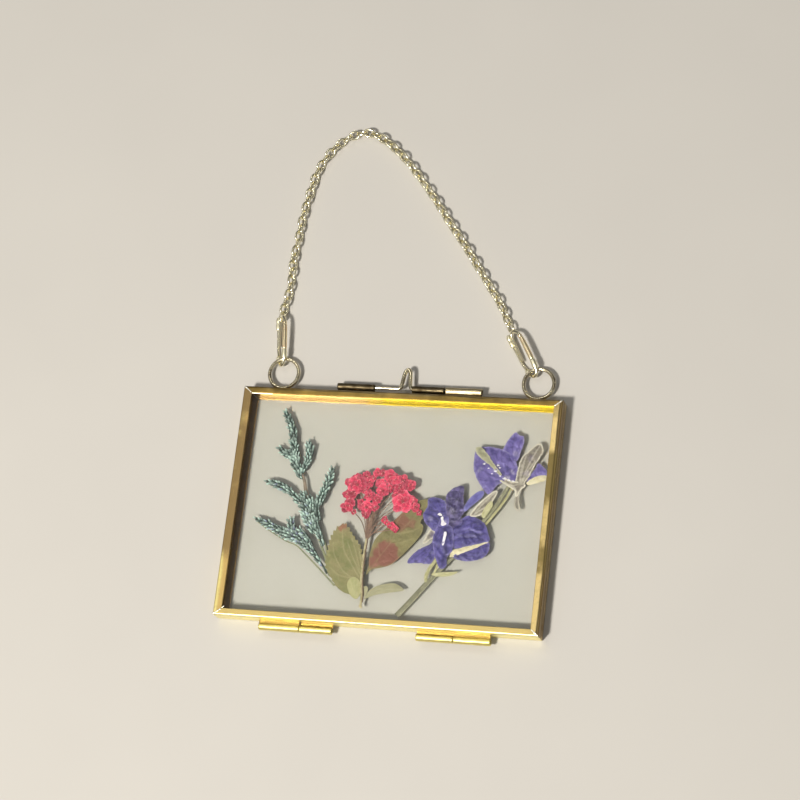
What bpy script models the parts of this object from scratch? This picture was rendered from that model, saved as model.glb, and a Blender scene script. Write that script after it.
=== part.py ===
"""Pressed flower frame: two brass-edged panes hinged along the lower side, with flowers between them.

The frame lies on its back. X runs along its width, Y towards the hanging rings, and Z out of its front.
Sizes are in millimetres until they reach a mesh. Every piece is placed from the middle of the frame.
"""

import math

import bmesh
import bpy
from mathutils import Vector

MM = 0.001

# The frame and its two halves.
WIDTH = 90.0
HEIGHT = 64.66
THICKNESS = 5.8
HALVES_GAP = 0.3
HALF_DEPTH = (THICKNESS - HALVES_GAP) / 2
WALL = 0.75
LIP = 0.45
FRONT_FACE_SIDES = 2.4
FRONT_FACE_ENDS = 1.9
BACK_FACE_SIDES = 3.15
BACK_FACE_ENDS = 2.5
OUTER_ROUND = 0.35
INNER_ROUND = 0.18
MITRE_GAP = 0.06

# The panes, each held between its own half's lip and the other half.
PANE = 1.5
PANE_PLAY = 0.1
PANE_EDGE_GAP = 0.25
BACK_PANE_BOTTOM = LIP + PANE_PLAY
FRONT_PANE_BOTTOM = THICKNESS - LIP - PANE_PLAY - PANE

# Hinges on the lower side, a pair of knuckles and a pin each.
SOLDER_GAP = 0.05
KNUCKLE_GAP = 0.3
HINGE_Y = -34.2
PIVOT_Z = THICKNESS / 2
KNUCKLE_R = 1.0
KNUCKLE_BORE_R = 0.6
HINGE_PIN_R = 0.48
TAB_STEP = 0.2
LEFT_HINGE = (-32.3, -20.9, -11.8)
RIGHT_HINGE = (31.8, 21.7, 11.5)

# The latch on the upper side: a bent wire slides in two tubes towards a third.
LATCH_Y = 34.2
LATCH_TUBE_R = 0.95
LATCH_BORE_R = 0.6
LATCH_WIRE_R = 0.42
LATCH_OUTER_TUBE = (-19.0, -8.4)
LATCH_MIDDLE_TUBE = (2.2, 11.35)
LATCH_KEEPER_TUBE = (11.65, 21.9)
LATCH_WIRE_ENDS = (-12.0, 11.05)
LATCH_GRIP_X = 0.4
LATCH_GRIP_HALF = 1.05
LATCH_GRIP_TOP = 40.0
LATCH_BEND = ((0.85, 0.0), (0.35, 0.1), (0.05, 0.5))

# Hanging rings.
RING_PLACES = ((-35.3, 37.5), (37.0, 37.6))
RING_WIRE_R = 0.52
RING_R = 4.2
RING_Z = 1.95
RING_FOOT_AT_WALL = (1.3, 0.62)
RING_FOOT_AT_RING = (0.8, 0.42)

# Snap clasps that join the chain to the rings.
CLASP_LENGTH = 14.3
CLASP_HALF_WIDTH = 2.0
CLASP_TAPER = 0.22
CLASP_WIRE_R = 0.5
CLASP_HOOK = 1.65
CLASP_TUBE = 1.2
CLASP_HOOK_Z = 2.05
CLASP_TOP_Z = 2.45

# A clasp's loop and its lever: across, as a share of the half width, and along from the hook's bend.
CLASP_LOOP = (
    (-1.0, 2.6), (-0.9, 1.2), (-0.45, 0.25), (0.0, 0.0), (0.45, 0.25), (0.9, 1.2), (1.0, 3.0),
    (1.0, 6.5), (1.0, 10.0), (0.8, 12.8), (0.4, 13.95), (0.0, CLASP_LENGTH), (-0.4, 13.95),
    (-0.8, 12.8), (-1.0, 10.0), (-1.0, 7.7),
)
CLASP_LEVER = ((-1.0, 7.35), (-1.06, 5.6), (-1.04, 4.2), (-1.0, 2.95))

# Each clasp: its ring, where on the ring it hooks, the chain's end and its roll.
CLASPS = (
    ("left", RING_PLACES[0], 108, (-38.0, 53.9), 58),
    ("right", RING_PLACES[1], 120, (27.9, 52.5), 55),
)

# Chain, as the round tube that its links fill.
CHAIN_DIAMETER = 3.0
CHAIN_Z = CHAIN_DIAMETER / 2 + 0.05
CHAIN_STEP = 6.3
CHAIN_ROUTE = (
    (-38.1, 56.2), (-37.2, 61.5), (-37.1, 66.5), (-37.2, 71.4), (-36.7, 76.6), (-36.4, 82.0),
    (-35.9, 86.5), (-35.1, 91.1), (-34.2, 96.0), (-32.7, 100.4), (-30.9, 103.4), (-28.6, 106.2),
    (-25.8, 108.4), (-22.8, 109.8), (-19.6, 110.0), (-16.0, 108.6), (-12.4, 106.1), (-8.5, 102.6),
    (-4.2, 97.8), (-0.2, 92.9), (3.4, 88.2), (7.0, 83.3), (10.8, 78.4), (14.3, 73.6),
    (17.3, 69.3), (20.7, 64.6), (24.0, 59.8), (26.6, 55.0),
)

# Heights of the pressed layers between the panes.
SLICE = 0.2
STEM_LAYER = 2.15
LEAF_LAYER = 2.45
OVER_LEAF_LAYER = 2.75
PETAL = 0.16
PETAL_STEP = 0.12
UNION_STEP = 0.01
TWIG = 0.15
GRAIN = 0.25
SPRIG_UPPER_LAYER = 2.51
LARKSPUR_BASE = 2.50
INNER_PETAL_LAYER = 3.0
SPUR_LAYER = 2.78
FLORET_BASE = 3.02
FLORET_TOP_BASE = 3.34
FLORET_TURN = 0.9
FLORET_PINCH = 0.74

# Leaves, as their outlines.
LEAF_TOOTH = 0.16
LEAF_TOOTH_STEP = 0.75
LEAF_SERRATED = (
    (-11.2, -4.9), (-9.3, -7.3), (-7.2, -9.4), (-6.0, -12.2), (-5.1, -16.6), (-5.0, -21.0),
    (-5.7, -25.0), (-8.8, -23.6), (-12.2, -21.9), (-14.1, -19.5), (-15.5, -16.5),
    (-15.8, -12.4), (-15.2, -9.5), (-14.6, -7.0), (-13.2, -5.2),
)
LEAF_OVAL = (
    (-9.1, -21.5), (-8.7, -19.8), (-7.4, -19.1), (-6.0, -19.9), (-5.1, -21.7), (-5.2, -23.8),
    (-6.2, -25.1), (-8.0, -24.0),
)
LEAF_NARROW = (
    (-4.0, -25.1), (-1.6, -22.4), (1.5, -20.5), (4.4, -20.2), (6.5, -21.5), (3.5, -22.5),
    (0.3, -23.4), (-2.3, -24.5),
)
LEAF_LARGE = (
    (-3.9, -18.3), (-3.9, -15.4), (-4.0, -12.0), (-3.1, -8.4), (-0.9, -5.7), (2.2, -2.2),
    (5.0, 0.8), (8.2, 3.1), (10.5, 3.4), (10.5, 0.9), (9.4, -1.5), (9.1, -3.4), (9.9, -4.4),
    (9.6, -6.2), (8.3, -8.2), (6.1, -11.0), (4.5, -12.9), (2.3, -15.0), (-0.6, -16.1), (-2.6, -17.0),
)

# Pink flower head: its stalk, its twigs and its florets, each (x, y, radius, level).
SPIRAEA_STALK = ((-4.6, -27.2), (-4.5, -24.5), (-4.9, -14.9), (-5.1, -6.0))
SPIRAEA_STALK_WIDTHS = (0.9, 0.7, 0.7, 0.7)
SPIRAEA_FORK = (-5.0, -8.4)
SPIRAEA_TWIG_WIDTHS = (0.5, 0.4, 0.4)
SPIRAEA_TIPS = ((-8.9, -1.0), (-6.4, -1.0), (-4.0, 1.0), (-1.8, 3.4), (1.2, 2.4), (2.6, 0.8))
FLORETS = {
    "spiraea_florets_left": (
        FLORET_BASE,
        [(-9.6, 6.1, 3.2, 1), (-6.7, 8.3, 2.3, 0), (-11.3, 3.7, 2.1, 0), (-11.6, 0.0, 2.5, 1)],
    ),
    "spiraea_florets_middle": (
        FLORET_TOP_BASE,
        [
            (-1.8, 5.8, 2.6, 0), (-0.3, 8.3, 2.5, 1), (-3.9, 9.7, 1.85, 0), (-4.8, 2.6, 2.5, 1),
            (-6.2, -0.3, 2.75, 0),
        ],
    ),
    "spiraea_florets_right": (
        FLORET_BASE,
        [
            (3.5, 2.5, 3.4, 2), (3.9, 7.7, 2.75, 1), (6.1, 6.5, 1.85, 0), (7.2, 2.1, 1.7, 1),
            (8.5, 0.1, 1.4, 0),
        ],
    ),
    "spiraea_buds": (
        FLORET_BASE,
        [(-0.7, -3.2, 1.4, 0), (1.1, -4.4, 1.3, 1), (2.2, -5.5, 1.3, 0)],
    ),
}

# Silvery sprig: the route of each spike and the widths along it.
SPRIG_MAIN = (
    (
        (-14.4, -19.0), (-17.2, -12.6), (-19.8, -6.8), (-22.2, -1.8), (-24.0, 2.4),
        (-24.9, 5.6), (-26.7, 10.0), (-28.7, 14.2), (-30.1, 19.5), (-33.5, 26.2),
    ),
    (0.8, 2.0, 4.4, 7.0, 4.8, 2.0, 3.6, 4.6, 2.8, 0.8),
)
SPRIG_SIDES = (
    (((-33.1, 15.3), (-30.6, 13.4), (-27.6, 11.2)), (1.4, 2.4, 2.0)),
    (((-25.8, 18.2), (-24.7, 15.4), (-25.6, 9.9)), (1.6, 2.6, 2.2)),
)
SPRIG_BRANCHES = {
    "sprig_left": (((-35.7, 6.3), (-32.3, 5.4), (-28.7, 4.0), (-26.0, 1.8)), (1.0, 2.4, 2.6, 2.2)),
    "sprig_right": (((-17.4, 11.3), (-17.8, 7.2), (-19.0, 3.8), (-20.0, 0.0)), (1.2, 2.4, 2.6, 2.2)),
    "sprig_lower": (
        (
            (-37.4, -4.9), (-34.2, -6.0), (-30.4, -7.0), (-26.6, -7.6), (-22.4, -10.2),
            (-18.8, -13.4), (-16.4, -16.4),
        ),
        (0.8, 2.2, 3.6, 5.4, 5.4, 3.8, 1.2),
    ),
}

# Blue flowers on one stem: (level, outline) for each petal.
LARKSPUR_STEM = (
    (
        (4.9, -29.2), (12.4, -19.4), (16.0, -14.6), (21.6, -8.2), (27.2, -2.1), (31.2, 4.7),
        (32.6, 8.6),
    ),
    (1.4, 1.4, 1.2, 1.2, 1.5, 1.4, 1.0),
)
LARKSPUR_EXTRAS = {
    "larkspur_strand": (((12.3, -19.2), (13.6, -15.4), (14.6, -12.2), (15.8, -9.0)), (0.8, 1.0, 1.0, 0.8)),
    "larkspur_bract": (((13.2, -16.6), (17.3, -17.0), (20.8, -15.8)), (1.2, 1.1, 0.5)),
}
LOWER_HUB = (
    (12.6, -4.8), (13.6, -2.2), (16.0, -1.2), (19.4, -1.4), (20.6, -4.0), (20.2, -8.2),
    (18.2, -9.0), (15.4, -9.4), (13.0, -8.2),
)
LOWER_PETALS = (
    (
        0,
        (
            (13.6, -5.5), (14.6, -9.0), (13.4, -13.4), (10.5, -13.9), (7.0, -14.4), (9.2, -11.2),
            (11.4, -8.9),
        ),
    ),
    (
        1,
        (
            (10.8, 3.2), (15.0, 3.4), (15.6, 0.4), (15.6, -3.6), (13.6, -5.4), (11.0, -4.3),
            (9.9, -2.2), (10.6, 0.4),
        ),
    ),
    (
        1,
        (
            (19.0, -2.8), (21.2, -0.6), (24.6, 0.0), (27.0, -1.9), (27.9, -5.0), (28.2, -7.2),
            (24.6, -8.5), (20.9, -9.3), (18.0, -8.0),
        ),
    ),
    (
        1,
        (
            (20.8, -10.4), (28.2, -7.9), (28.8, -10.0), (27.6, -12.0), (24.6, -12.9), (21.2, -12.7),
            (19.5, -11.9),
        ),
    ),
    (2, ((18.4, -12.3), (19.2, -9.6), (23.2, -8.5), (28.3, -7.0), (28.1, -8.2), (23.8, -10.2))),
    (
        2,
        (
            (15.4, 3.6), (16.2, 5.8), (17.8, 7.1), (19.9, 7.0), (20.4, 3.7), (20.4, 0.4),
            (19.4, -3.0), (16.0, -3.2), (15.2, 0.2),
        ),
    ),
    (
        3,
        (
            (13.4, -8.0), (15.0, -5.6), (18.6, -5.8), (19.2, -9.4), (17.9, -14.2), (16.8, -15.5),
            (15.6, -14.4), (14.2, -11.8),
        ),
    ),
)
UPPER_HUB = ((30.8, 8.2), (31.6, 10.6), (34.0, 11.4), (36.6, 10.8), (37.8, 9.6), (36.0, 7.6), (33.0, 7.0))
UPPER_PETALS = (
    (
        0,
        (
            (29.5, 17.6), (29.6, 19.0), (30.9, 22.4), (32.4, 23.6), (34.5, 22.8), (35.0, 21.3),
            (34.5, 18.6), (33.7, 15.6), (31.6, 15.0),
        ),
    ),
    (0, ((37.0, 10.0), (38.2, 13.3), (39.1, 15.1), (40.4, 14.1), (41.9, 13.2), (42.2, 10.2), (38.8, 9.2))),
    (
        1,
        (
            (22.3, 18.3), (26.0, 18.8), (30.0, 18.2), (32.5, 16.8), (34.0, 14.6), (34.2, 11.6),
            (33.4, 9.4), (29.9, 8.8), (26.8, 5.6), (24.6, 7.2), (22.5, 10.2), (21.7, 13.0), (21.9, 16.2),
        ),
    ),
    (
        2,
        (
            (34.0, 9.4), (33.7, 13.0), (34.2, 16.0), (36.4, 18.0), (38.8, 20.7), (40.4, 20.1),
            (40.9, 18.6), (39.5, 15.4), (38.0, 12.4), (37.0, 9.0), (35.4, 8.0),
        ),
    ),
    (
        0,
        (
            (33.8, 9.0), (35.6, 8.6), (35.3, 5.4), (35.4, 3.4), (36.5, 1.9), (35.8, 1.3), (34.4, 2.4),
            (33.9, 5.2),
        ),
    ),
)
INNER_PETAL = ((20.2, 1.8), (21.6, 4.0), (23.8, 6.1), (24.4, 6.3), (25.9, 5.0), (23.6, 2.6), (21.4, 0.4))
SPUR = (
    (23.6, 0.9), (25.0, 3.2), (26.2, 4.4), (28.6, 5.0), (29.6, 6.0), (29.2, 4.2), (26.4, 1.0),
    (25.2, 0.3),
)

# The origin is under the middle of the whole frame, with its hinges and rings.
LOWEST_Y = HINGE_Y - KNUCKLE_R
HIGHEST_Y = RING_PLACES[1][1] + RING_R + RING_WIRE_R
MIDDLE_Y = (LOWEST_Y + HIGHEST_Y) / 2


def clear_scene():
    for obj in list(bpy.data.objects):
        bpy.data.objects.remove(obj)


def finish(name, colour, roughness, metallic=0.0, transmission=0.0):
    """A material of one colour, roughness and metallic value."""
    made = bpy.data.materials.new(name)
    made.use_nodes = True
    shader = made.node_tree.nodes["Principled BSDF"]
    shader.inputs["Base Color"].default_value = (*colour, 1.0)
    shader.inputs["Roughness"].default_value = roughness
    shader.inputs["Metallic"].default_value = metallic
    shader.inputs["Transmission Weight"].default_value = transmission
    made.diffuse_color = (*colour, 1.0)
    return made


def carrier(name, place):
    """An empty that carries pieces, at a place in the frame's own millimetres."""
    empty = bpy.data.objects.new(name, None)
    bpy.context.scene.collection.objects.link(empty)
    x, y, z = place
    empty.location = (x * MM, (y - MIDDLE_Y) * MM, z * MM)
    return empty


def put(name, data, material, on):
    """An object made from data, which is in the frame's own metres, carried by an empty."""
    obj = bpy.data.objects.new(name, data)
    bpy.context.scene.collection.objects.link(obj)
    data.materials.append(material)
    obj.parent = on
    obj.location = Vector((0.0, -MIDDLE_Y * MM, 0.0)) - on.location
    return obj


def mesh_from(name, vertices, faces):
    """A closed mesh with its faces pointing out, from points in millimetres."""
    bm = bmesh.new()
    made = [bm.verts.new(Vector(vertex) * MM) for vertex in vertices]
    for face in faces:
        bm.faces.new([made[i] for i in face])
    bmesh.ops.recalc_face_normals(bm, faces=bm.faces)
    mesh = bpy.data.meshes.new(name)
    bm.to_mesh(mesh)
    bm.free()
    mesh.shade_smooth()
    mesh.set_sharp_from_angle(angle=math.radians(35))
    return mesh


def bridged(rings):
    """Vertices and faces of a solid whose cross-sections are rings of as many points each."""
    count = len(rings[0])
    vertices = [point for ring in rings for point in ring]
    faces = [tuple(range(count)), tuple(range(len(vertices) - count, len(vertices)))]
    for low in range(0, len(vertices) - count, count):
        for i in range(count):
            j = (i + 1) % count
            faces.append((low + i, low + j, low + count + j, low + count + i))
    return vertices, faces


def blend_point(a, b, c, d, t):
    """A point between b and c on the smooth curve through a, b, c and d."""
    return tuple(
        0.5 * (2 * q + (r - p) * t + (2 * p - 5 * q + 4 * r - s) * t**2 + (3 * q - p - 3 * r + s) * t**3)
        for p, q, r, s in zip(a, b, c, d)
    )


def smooth(points, steps, closed=False):
    """Points on the smooth curve through the given ones, so many steps from each to the next."""
    count = len(points)
    spans = count if closed else count - 1

    def at(i):
        return points[i % count] if closed else points[min(max(i, 0), count - 1)]

    curve = [
        blend_point(at(i - 1), at(i), at(i + 1), at(i + 2), k / steps)
        for i in range(spans)
        for k in range(steps)
    ]
    return curve if closed else [*curve, points[-1]]


def spaced(points, step):
    """Points about one step apart along a line through the given ones."""
    lengths = [math.dist(a, b) for a, b in zip(points, points[1:])]
    count = max(1, round(sum(lengths) / step))
    placed = []
    for k in range(count):
        rest = sum(lengths) * k / count
        for a, b, length in zip(points, points[1:], lengths):
            if rest < length:
                break
            rest -= length
        placed.append(tuple(p + (q - p) * rest / length for p, q in zip(a, b)))
    return [*placed, points[-1]]


# Rails and panes.


def rounded(corners):
    """Points of an outline whose corners are (u, z, radius); a radius of 0 keeps a corner sharp."""
    points = []
    count = len(corners)
    for i, (u, z, radius) in enumerate(corners):
        here = Vector((u, z))
        if radius == 0:
            points.append((u, z))
            continue
        before = (Vector(corners[i - 1][:2]) - here).normalized() * radius
        after = (Vector(corners[(i + 1) % count][:2]) - here).normalized() * radius
        for k in range(4):
            turn = math.radians(90) * k / 3
            point = here + before * (1 - math.sin(turn)) + after * (1 - math.cos(turn))
            points.append(tuple(point))
    return points


def rail(name, side, front, material, on):
    """One mitred L-shaped rail. Side is left, right, top or bottom."""
    upright = side in ("left", "right")
    widths = (FRONT_FACE_SIDES, FRONT_FACE_ENDS) if front else (BACK_FACE_SIDES, BACK_FACE_ENDS)
    face = widths[0] if upright else widths[1]
    mitre = (widths[1] if upright else widths[0]) / face
    profile = rounded(
        [
            (0, 0, OUTER_ROUND),
            (face, 0, INNER_ROUND),
            (face, LIP, INNER_ROUND),
            (WALL, LIP, 0),
            (WALL, HALF_DEPTH, 0),
            (0, HALF_DEPTH, 0),
        ]
    )
    half_length = (HEIGHT if upright else WIDTH) / 2 - MITRE_GAP
    half_across = (WIDTH if upright else HEIGHT) / 2
    sign = 1 if side in ("right", "top") else -1
    rings = []
    for end in (-1, 1):
        ring = []
        for u, z in profile:
            along = end * (half_length - u * mitre)
            across = sign * (half_across - u)
            x, y = (across, along) if upright else (along, across)
            ring.append((x, y, THICKNESS - z if front else z))
        rings.append(ring)
    return put(name, mesh_from(name, *bridged(rings)), material, on)


def pane(name, bottom, material, on):
    x = WIDTH / 2 - WALL - PANE_EDGE_GAP
    y = HEIGHT / 2 - WALL - PANE_EDGE_GAP
    rings = [[(-x, -y, z), (x, -y, z), (x, y, z), (-x, y, z)] for z in (bottom, bottom + PANE)]
    return put(name, mesh_from(name, *bridged(rings)), material, on)


# Knuckles, tubes and pins.


def disc(radius, sides, start=0.0):
    """Points round a circle."""
    turns = [start + 2 * math.pi * k / sides for k in range(sides)]
    return [(radius * math.cos(turn), radius * math.sin(turn)) for turn in turns]


def rod(name, x_ends, y, radius, material, on, sides=24):
    """A round bar along X at the pivot's height."""
    circle = disc(radius, sides)
    rings = [[(x, y + v, PIVOT_Z + w) for v, w in circle] for x in x_ends]
    return put(name, mesh_from(name, *bridged(rings)), material, on)


def barrel(name, x_ends, y, front, radius, bore, material, on, sides=32):
    """A tube along X with a tab that is soldered to the wall of the front or the back half."""
    inward = -1 if y > 0 else 1
    lift = 1 if front else -1
    reach = abs(y) - HEIGHT / 2 - SOLDER_GAP
    step = math.asin(TAB_STEP / radius)
    turns = [step - (math.pi * 1.5 + step) * k / sides for k in range(sides + 1)]
    outline = [(reach, radius), (reach, TAB_STEP)]
    outline += [(radius * math.cos(turn), radius * math.sin(turn)) for turn in turns]
    rings = [[(x, y + inward * v, PIVOT_Z + lift * w) for v, w in outline] for x in x_ends]
    tube = put(name, mesh_from(name, *bridged(rings)), material, on)
    past = (x_ends[0] - 1, x_ends[1] + 1)
    hole = rod(f"{name}_bore", past, y, bore, material, on, sides)
    return combined(tube, [hole], "DIFFERENCE")


def combined(base, tools, operation):
    """The base with each tool joined to it or cut from it."""
    for tool in tools:
        tool.hide_render = True
        tool.display_type = "WIRE"
        modifier = base.modifiers.new(tool.name, "BOOLEAN")
        modifier.operation = operation
        modifier.object = tool
    return base


def wire(name, points, radii, material, on, sides=12):
    """A round wire along 3-D points, with a radius at each point and flat ends."""
    path = [Vector(point) for point in points]
    up = Vector((0, 0, 1))
    rings = []
    for i, point in enumerate(path):
        ahead = (path[min(i + 1, len(path) - 1)] - path[max(i - 1, 0)]).normalized()
        side = ahead.cross(up).normalized()
        up = side.cross(ahead).normalized()
        circle = disc(radii[i], sides)
        rings.append([tuple(point + side * v + up * w) for v, w in circle])
    return put(name, mesh_from(name, *bridged(rings)), material, on)


def latch_pin(material, on):
    """The sliding wire, straight in its tubes and bent into a finger grip between them."""
    left, right = LATCH_WIRE_ENDS
    round_y = LATCH_GRIP_TOP - LATCH_GRIP_HALF
    arch = [(LATCH_GRIP_HALF * v, round_y + LATCH_GRIP_HALF * w) for v, w in disc(1.0, 16)[8::-1]]
    rising = [(LATCH_GRIP_HALF + out, LATCH_Y + up) for out, up in LATCH_BEND]
    leg = [(-across, y) for across, y in rising]
    route = [*leg, *arch, *rising[::-1]]
    points = [(left, LATCH_Y, PIVOT_Z)]
    points += [(LATCH_GRIP_X + across, y, PIVOT_Z) for across, y in route]
    points.append((right, LATCH_Y, PIVOT_Z))
    return wire("latch_pin", points, [LATCH_WIRE_R] * len(points), material, on)


# Rings, clasps and chain.


def hanging_ring(name, place, material, on):
    """A closed ring with the small soldered foot that joins it to the back half's upper wall."""
    middle_x, middle_y = place
    around, section = 40, 10
    vertices = []
    for out, turn in disc(1.0, around):
        for v, w in disc(RING_WIRE_R, section):
            reach = RING_R + v
            vertices.append((middle_x + reach * out, middle_y + reach * turn, RING_Z + w))
    faces = []
    for i in range(around):
        for j in range(section):
            low, high = i * section, (i + 1) % around * section
            k = (j + 1) % section
            faces.append((low + j, high + j, high + k, low + k))
    ring = put(name, mesh_from(name, vertices, faces), material, on)
    ends = ((HEIGHT / 2 + SOLDER_GAP, RING_FOOT_AT_WALL), (middle_y - RING_R, RING_FOOT_AT_RING))
    foot_rings = []
    for y, (half, rise) in ends:
        corners = ((-half, -rise), (half, -rise), (half, rise), (-half, rise))
        foot_rings.append([(middle_x + v, y, RING_Z + w) for v, w in corners])
    foot = put(f"{name}_foot", mesh_from(f"{name}_foot", *bridged(foot_rings)), material, on)
    return combined(ring, [foot], "UNION")


def clasp_point(across, along, hooked, top, roll):
    """A point of a clasp: across and along its flat loop, which is rolled about its length.

    The loop's bend lies a little past the point where it is hooked on its ring.
    """
    start, end = Vector(hooked), Vector(top)
    axis = (end - start).normalized()
    side = axis.cross(Vector((0, 0, 1))).normalized()
    rise = side.cross(axis)
    return start + axis * (along - CLASP_HOOK) + (side * math.cos(roll) + rise * math.sin(roll)) * across


def clasp(name, ring_place, ring_turn, top, roll, material, on):
    """A snap clasp: a long loop of wire that hooks round the ring, closed by a spring lever."""
    ring_x, ring_y = ring_place
    hooked = (ring_x + RING_R * math.cos(ring_turn), ring_y + RING_R * math.sin(ring_turn), CLASP_HOOK_Z)
    for piece, line in ((name, CLASP_LOOP), (f"{name}_lever", CLASP_LEVER)):
        points = smooth(line, 2)
        thick = [CLASP_WIRE_R * (CLASP_TUBE if across > 0.97 else 1.0) for across, _ in points]
        placed = []
        for across, along in points:
            half = CLASP_HALF_WIDTH * (1 - CLASP_TAPER * (1 - along / CLASP_LENGTH) ** 2)
            placed.append(clasp_point(across * half, along, hooked, (*top, CLASP_TOP_Z), roll))
        wire(piece, placed, thick, material, on)


def chain(material, on):
    curve = bpy.data.curves.new("chain", "CURVE")
    curve.dimensions = "3D"
    curve.bevel_depth = CHAIN_DIAMETER / 2 * MM
    curve.bevel_resolution = 2
    curve.use_fill_caps = True
    route = spaced(smooth(CHAIN_ROUTE, 6), CHAIN_STEP)
    spline = curve.splines.new("POLY")
    spline.points.add(len(route) - 1)
    for point, (x, y) in zip(spline.points, route):
        point.co = (x * MM, y * MM, CHAIN_Z * MM, 1.0)
    spline.use_smooth = True
    return put("chain", curve, material, on)


# Leaves, petals, stems and spikes, each a thin flat solid.


def slab(name, outline, bottom, material, on, thickness=SLICE):
    """A flat solid of the given outline, from its bottom height up."""
    rings = [[(x, y, z) for x, y in outline] for z in (bottom, bottom + thickness)]
    return put(name, mesh_from(name, *bridged(rings)), material, on)


def banded(path, widths, grain=0.0, step=0.8):
    """Outline of a band along a path, its width blended between the path's points.

    With grain, both its edges bulge and pinch by that much at every other step.
    """
    routed = smooth([(x, y, width) for (x, y), width in zip(path, widths)], 6)
    line = spaced(routed, step)
    left, right = [], []
    for i, (x, y, width) in enumerate(line):
        before, after = line[max(i - 1, 0)], line[min(i + 1, len(line) - 1)]
        dx, dy = after[0] - before[0], after[1] - before[1]
        size = math.hypot(dx, dy)
        half = width / 2 + (grain if i % 2 else -grain) * min(1.0, width / 2)
        left.append((x - dy / size * half, y + dx / size * half))
        right.append((x + dy / size * half, y - dx / size * half))
    return left + right[::-1]


def toothed(outline, depth):
    """A leaf's edge with small teeth: every other point is pushed out from the middle."""
    middle = Vector((sum(x for x, _ in outline), sum(y for _, y in outline))) / len(outline)
    edge = []
    for i, point in enumerate(outline):
        out = (Vector(point) - middle).normalized()
        edge.append(tuple(Vector(point) + out * (depth if i % 2 else -depth)))
    return edge


def leaves(material, on):
    edge = spaced(smooth(LEAF_SERRATED, 5, closed=True), LEAF_TOOTH_STEP)
    slab("leaf_serrated", toothed(edge[:-1], LEAF_TOOTH), LEAF_LAYER, material, on)
    slab("leaf_oval", smooth(LEAF_OVAL, 4, closed=True), OVER_LEAF_LAYER, material, on)
    slab("leaf_narrow", smooth(LEAF_NARROW, 3, closed=True), LEAF_LAYER, material, on)
    slab("leaf_large", smooth(LEAF_LARGE, 3, closed=True), LEAF_LAYER, material, on)


def floret_outline(x, y, radius, turn):
    """Five round lobes about a middle."""
    points = []
    for k in range(30):
        angle = 2 * math.pi * k / 30
        lobe = abs(math.cos(2.5 * angle)) ** 0.6
        reach = radius * (FLORET_PINCH + (1 - FLORET_PINCH) * lobe)
        points.append((x + reach * math.cos(angle + turn), y + reach * math.sin(angle + turn)))
    return points


def floret_cluster(name, florets, base, material, on):
    """Overlapping florets grown together: (x, y, radius, level) each, neighbours a level apart."""
    pieces = []
    for i, (x, y, radius, level) in enumerate(florets):
        outline = floret_outline(x, y, radius, FLORET_TURN * i)
        piece = name if i == 0 else f"{name}_{i}"
        pieces.append(slab(piece, outline, base + level * PETAL_STEP, material, on, PETAL))
    return combined(pieces[0], pieces[1:], "UNION")


def spiraea(stem_material, petal_material, on):
    """A flat head of small pink florets on thin branching stalks."""
    outline = banded(SPIRAEA_STALK, SPIRAEA_STALK_WIDTHS)
    stalk = slab("spiraea_stem", outline, OVER_LEAF_LAYER, stem_material, on)
    fork_x, fork_y = SPIRAEA_FORK
    twigs = []
    for i, (tip_x, tip_y) in enumerate(SPIRAEA_TIPS):
        knee = (fork_x + (tip_x - fork_x) * 0.3, fork_y + (tip_y - fork_y) * 0.45)
        outline = banded([SPIRAEA_FORK, knee, (tip_x, tip_y)], SPIRAEA_TWIG_WIDTHS, step=1.6)
        bottom = OVER_LEAF_LAYER + UNION_STEP * (i + 2)
        twigs.append(slab(f"spiraea_twig_{i}", outline, bottom, stem_material, on, TWIG))
    combined(stalk, twigs, "UNION")
    for name, (base, florets) in FLORETS.items():
        floret_cluster(name, florets, base, petal_material, on)


def sprig(material, on):
    """A silvery sprig of seed spikes, split at its main forks."""
    trunk = slab("sprig_main", banded(*SPRIG_MAIN, GRAIN), STEM_LAYER, material, on)
    sides = []
    for i, (path, widths) in enumerate(SPRIG_SIDES):
        thickness = SLICE + UNION_STEP * (i + 5)
        sides.append(
            slab(f"sprig_side_{i}", banded(path, widths, GRAIN), STEM_LAYER + 0.05, material, on, thickness)
        )
    combined(trunk, sides, "UNION")
    for name, (path, widths) in SPRIG_BRANCHES.items():
        slab(name, banded(path, widths, GRAIN), SPRIG_UPPER_LAYER, material, on)


def petal_fan(name, hub, petals, material, on):
    """Overlapping petals grown together about a hub: (level, points) each, over the hub's height."""
    hub_height = PETAL + PETAL_STEP * max(level for level, _ in petals)
    whole = slab(name, smooth(hub, 3, closed=True), LARKSPUR_BASE, material, on, hub_height)
    thickness = PETAL + 2 * UNION_STEP
    pieces = []
    for i, (level, points) in enumerate(petals):
        outline = smooth(points, 3, closed=True)
        bottom = LARKSPUR_BASE + level * PETAL_STEP - UNION_STEP
        pieces.append(slab(f"{name}_petal_{i}", outline, bottom, material, on, thickness))
    return combined(whole, pieces, "UNION")


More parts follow.
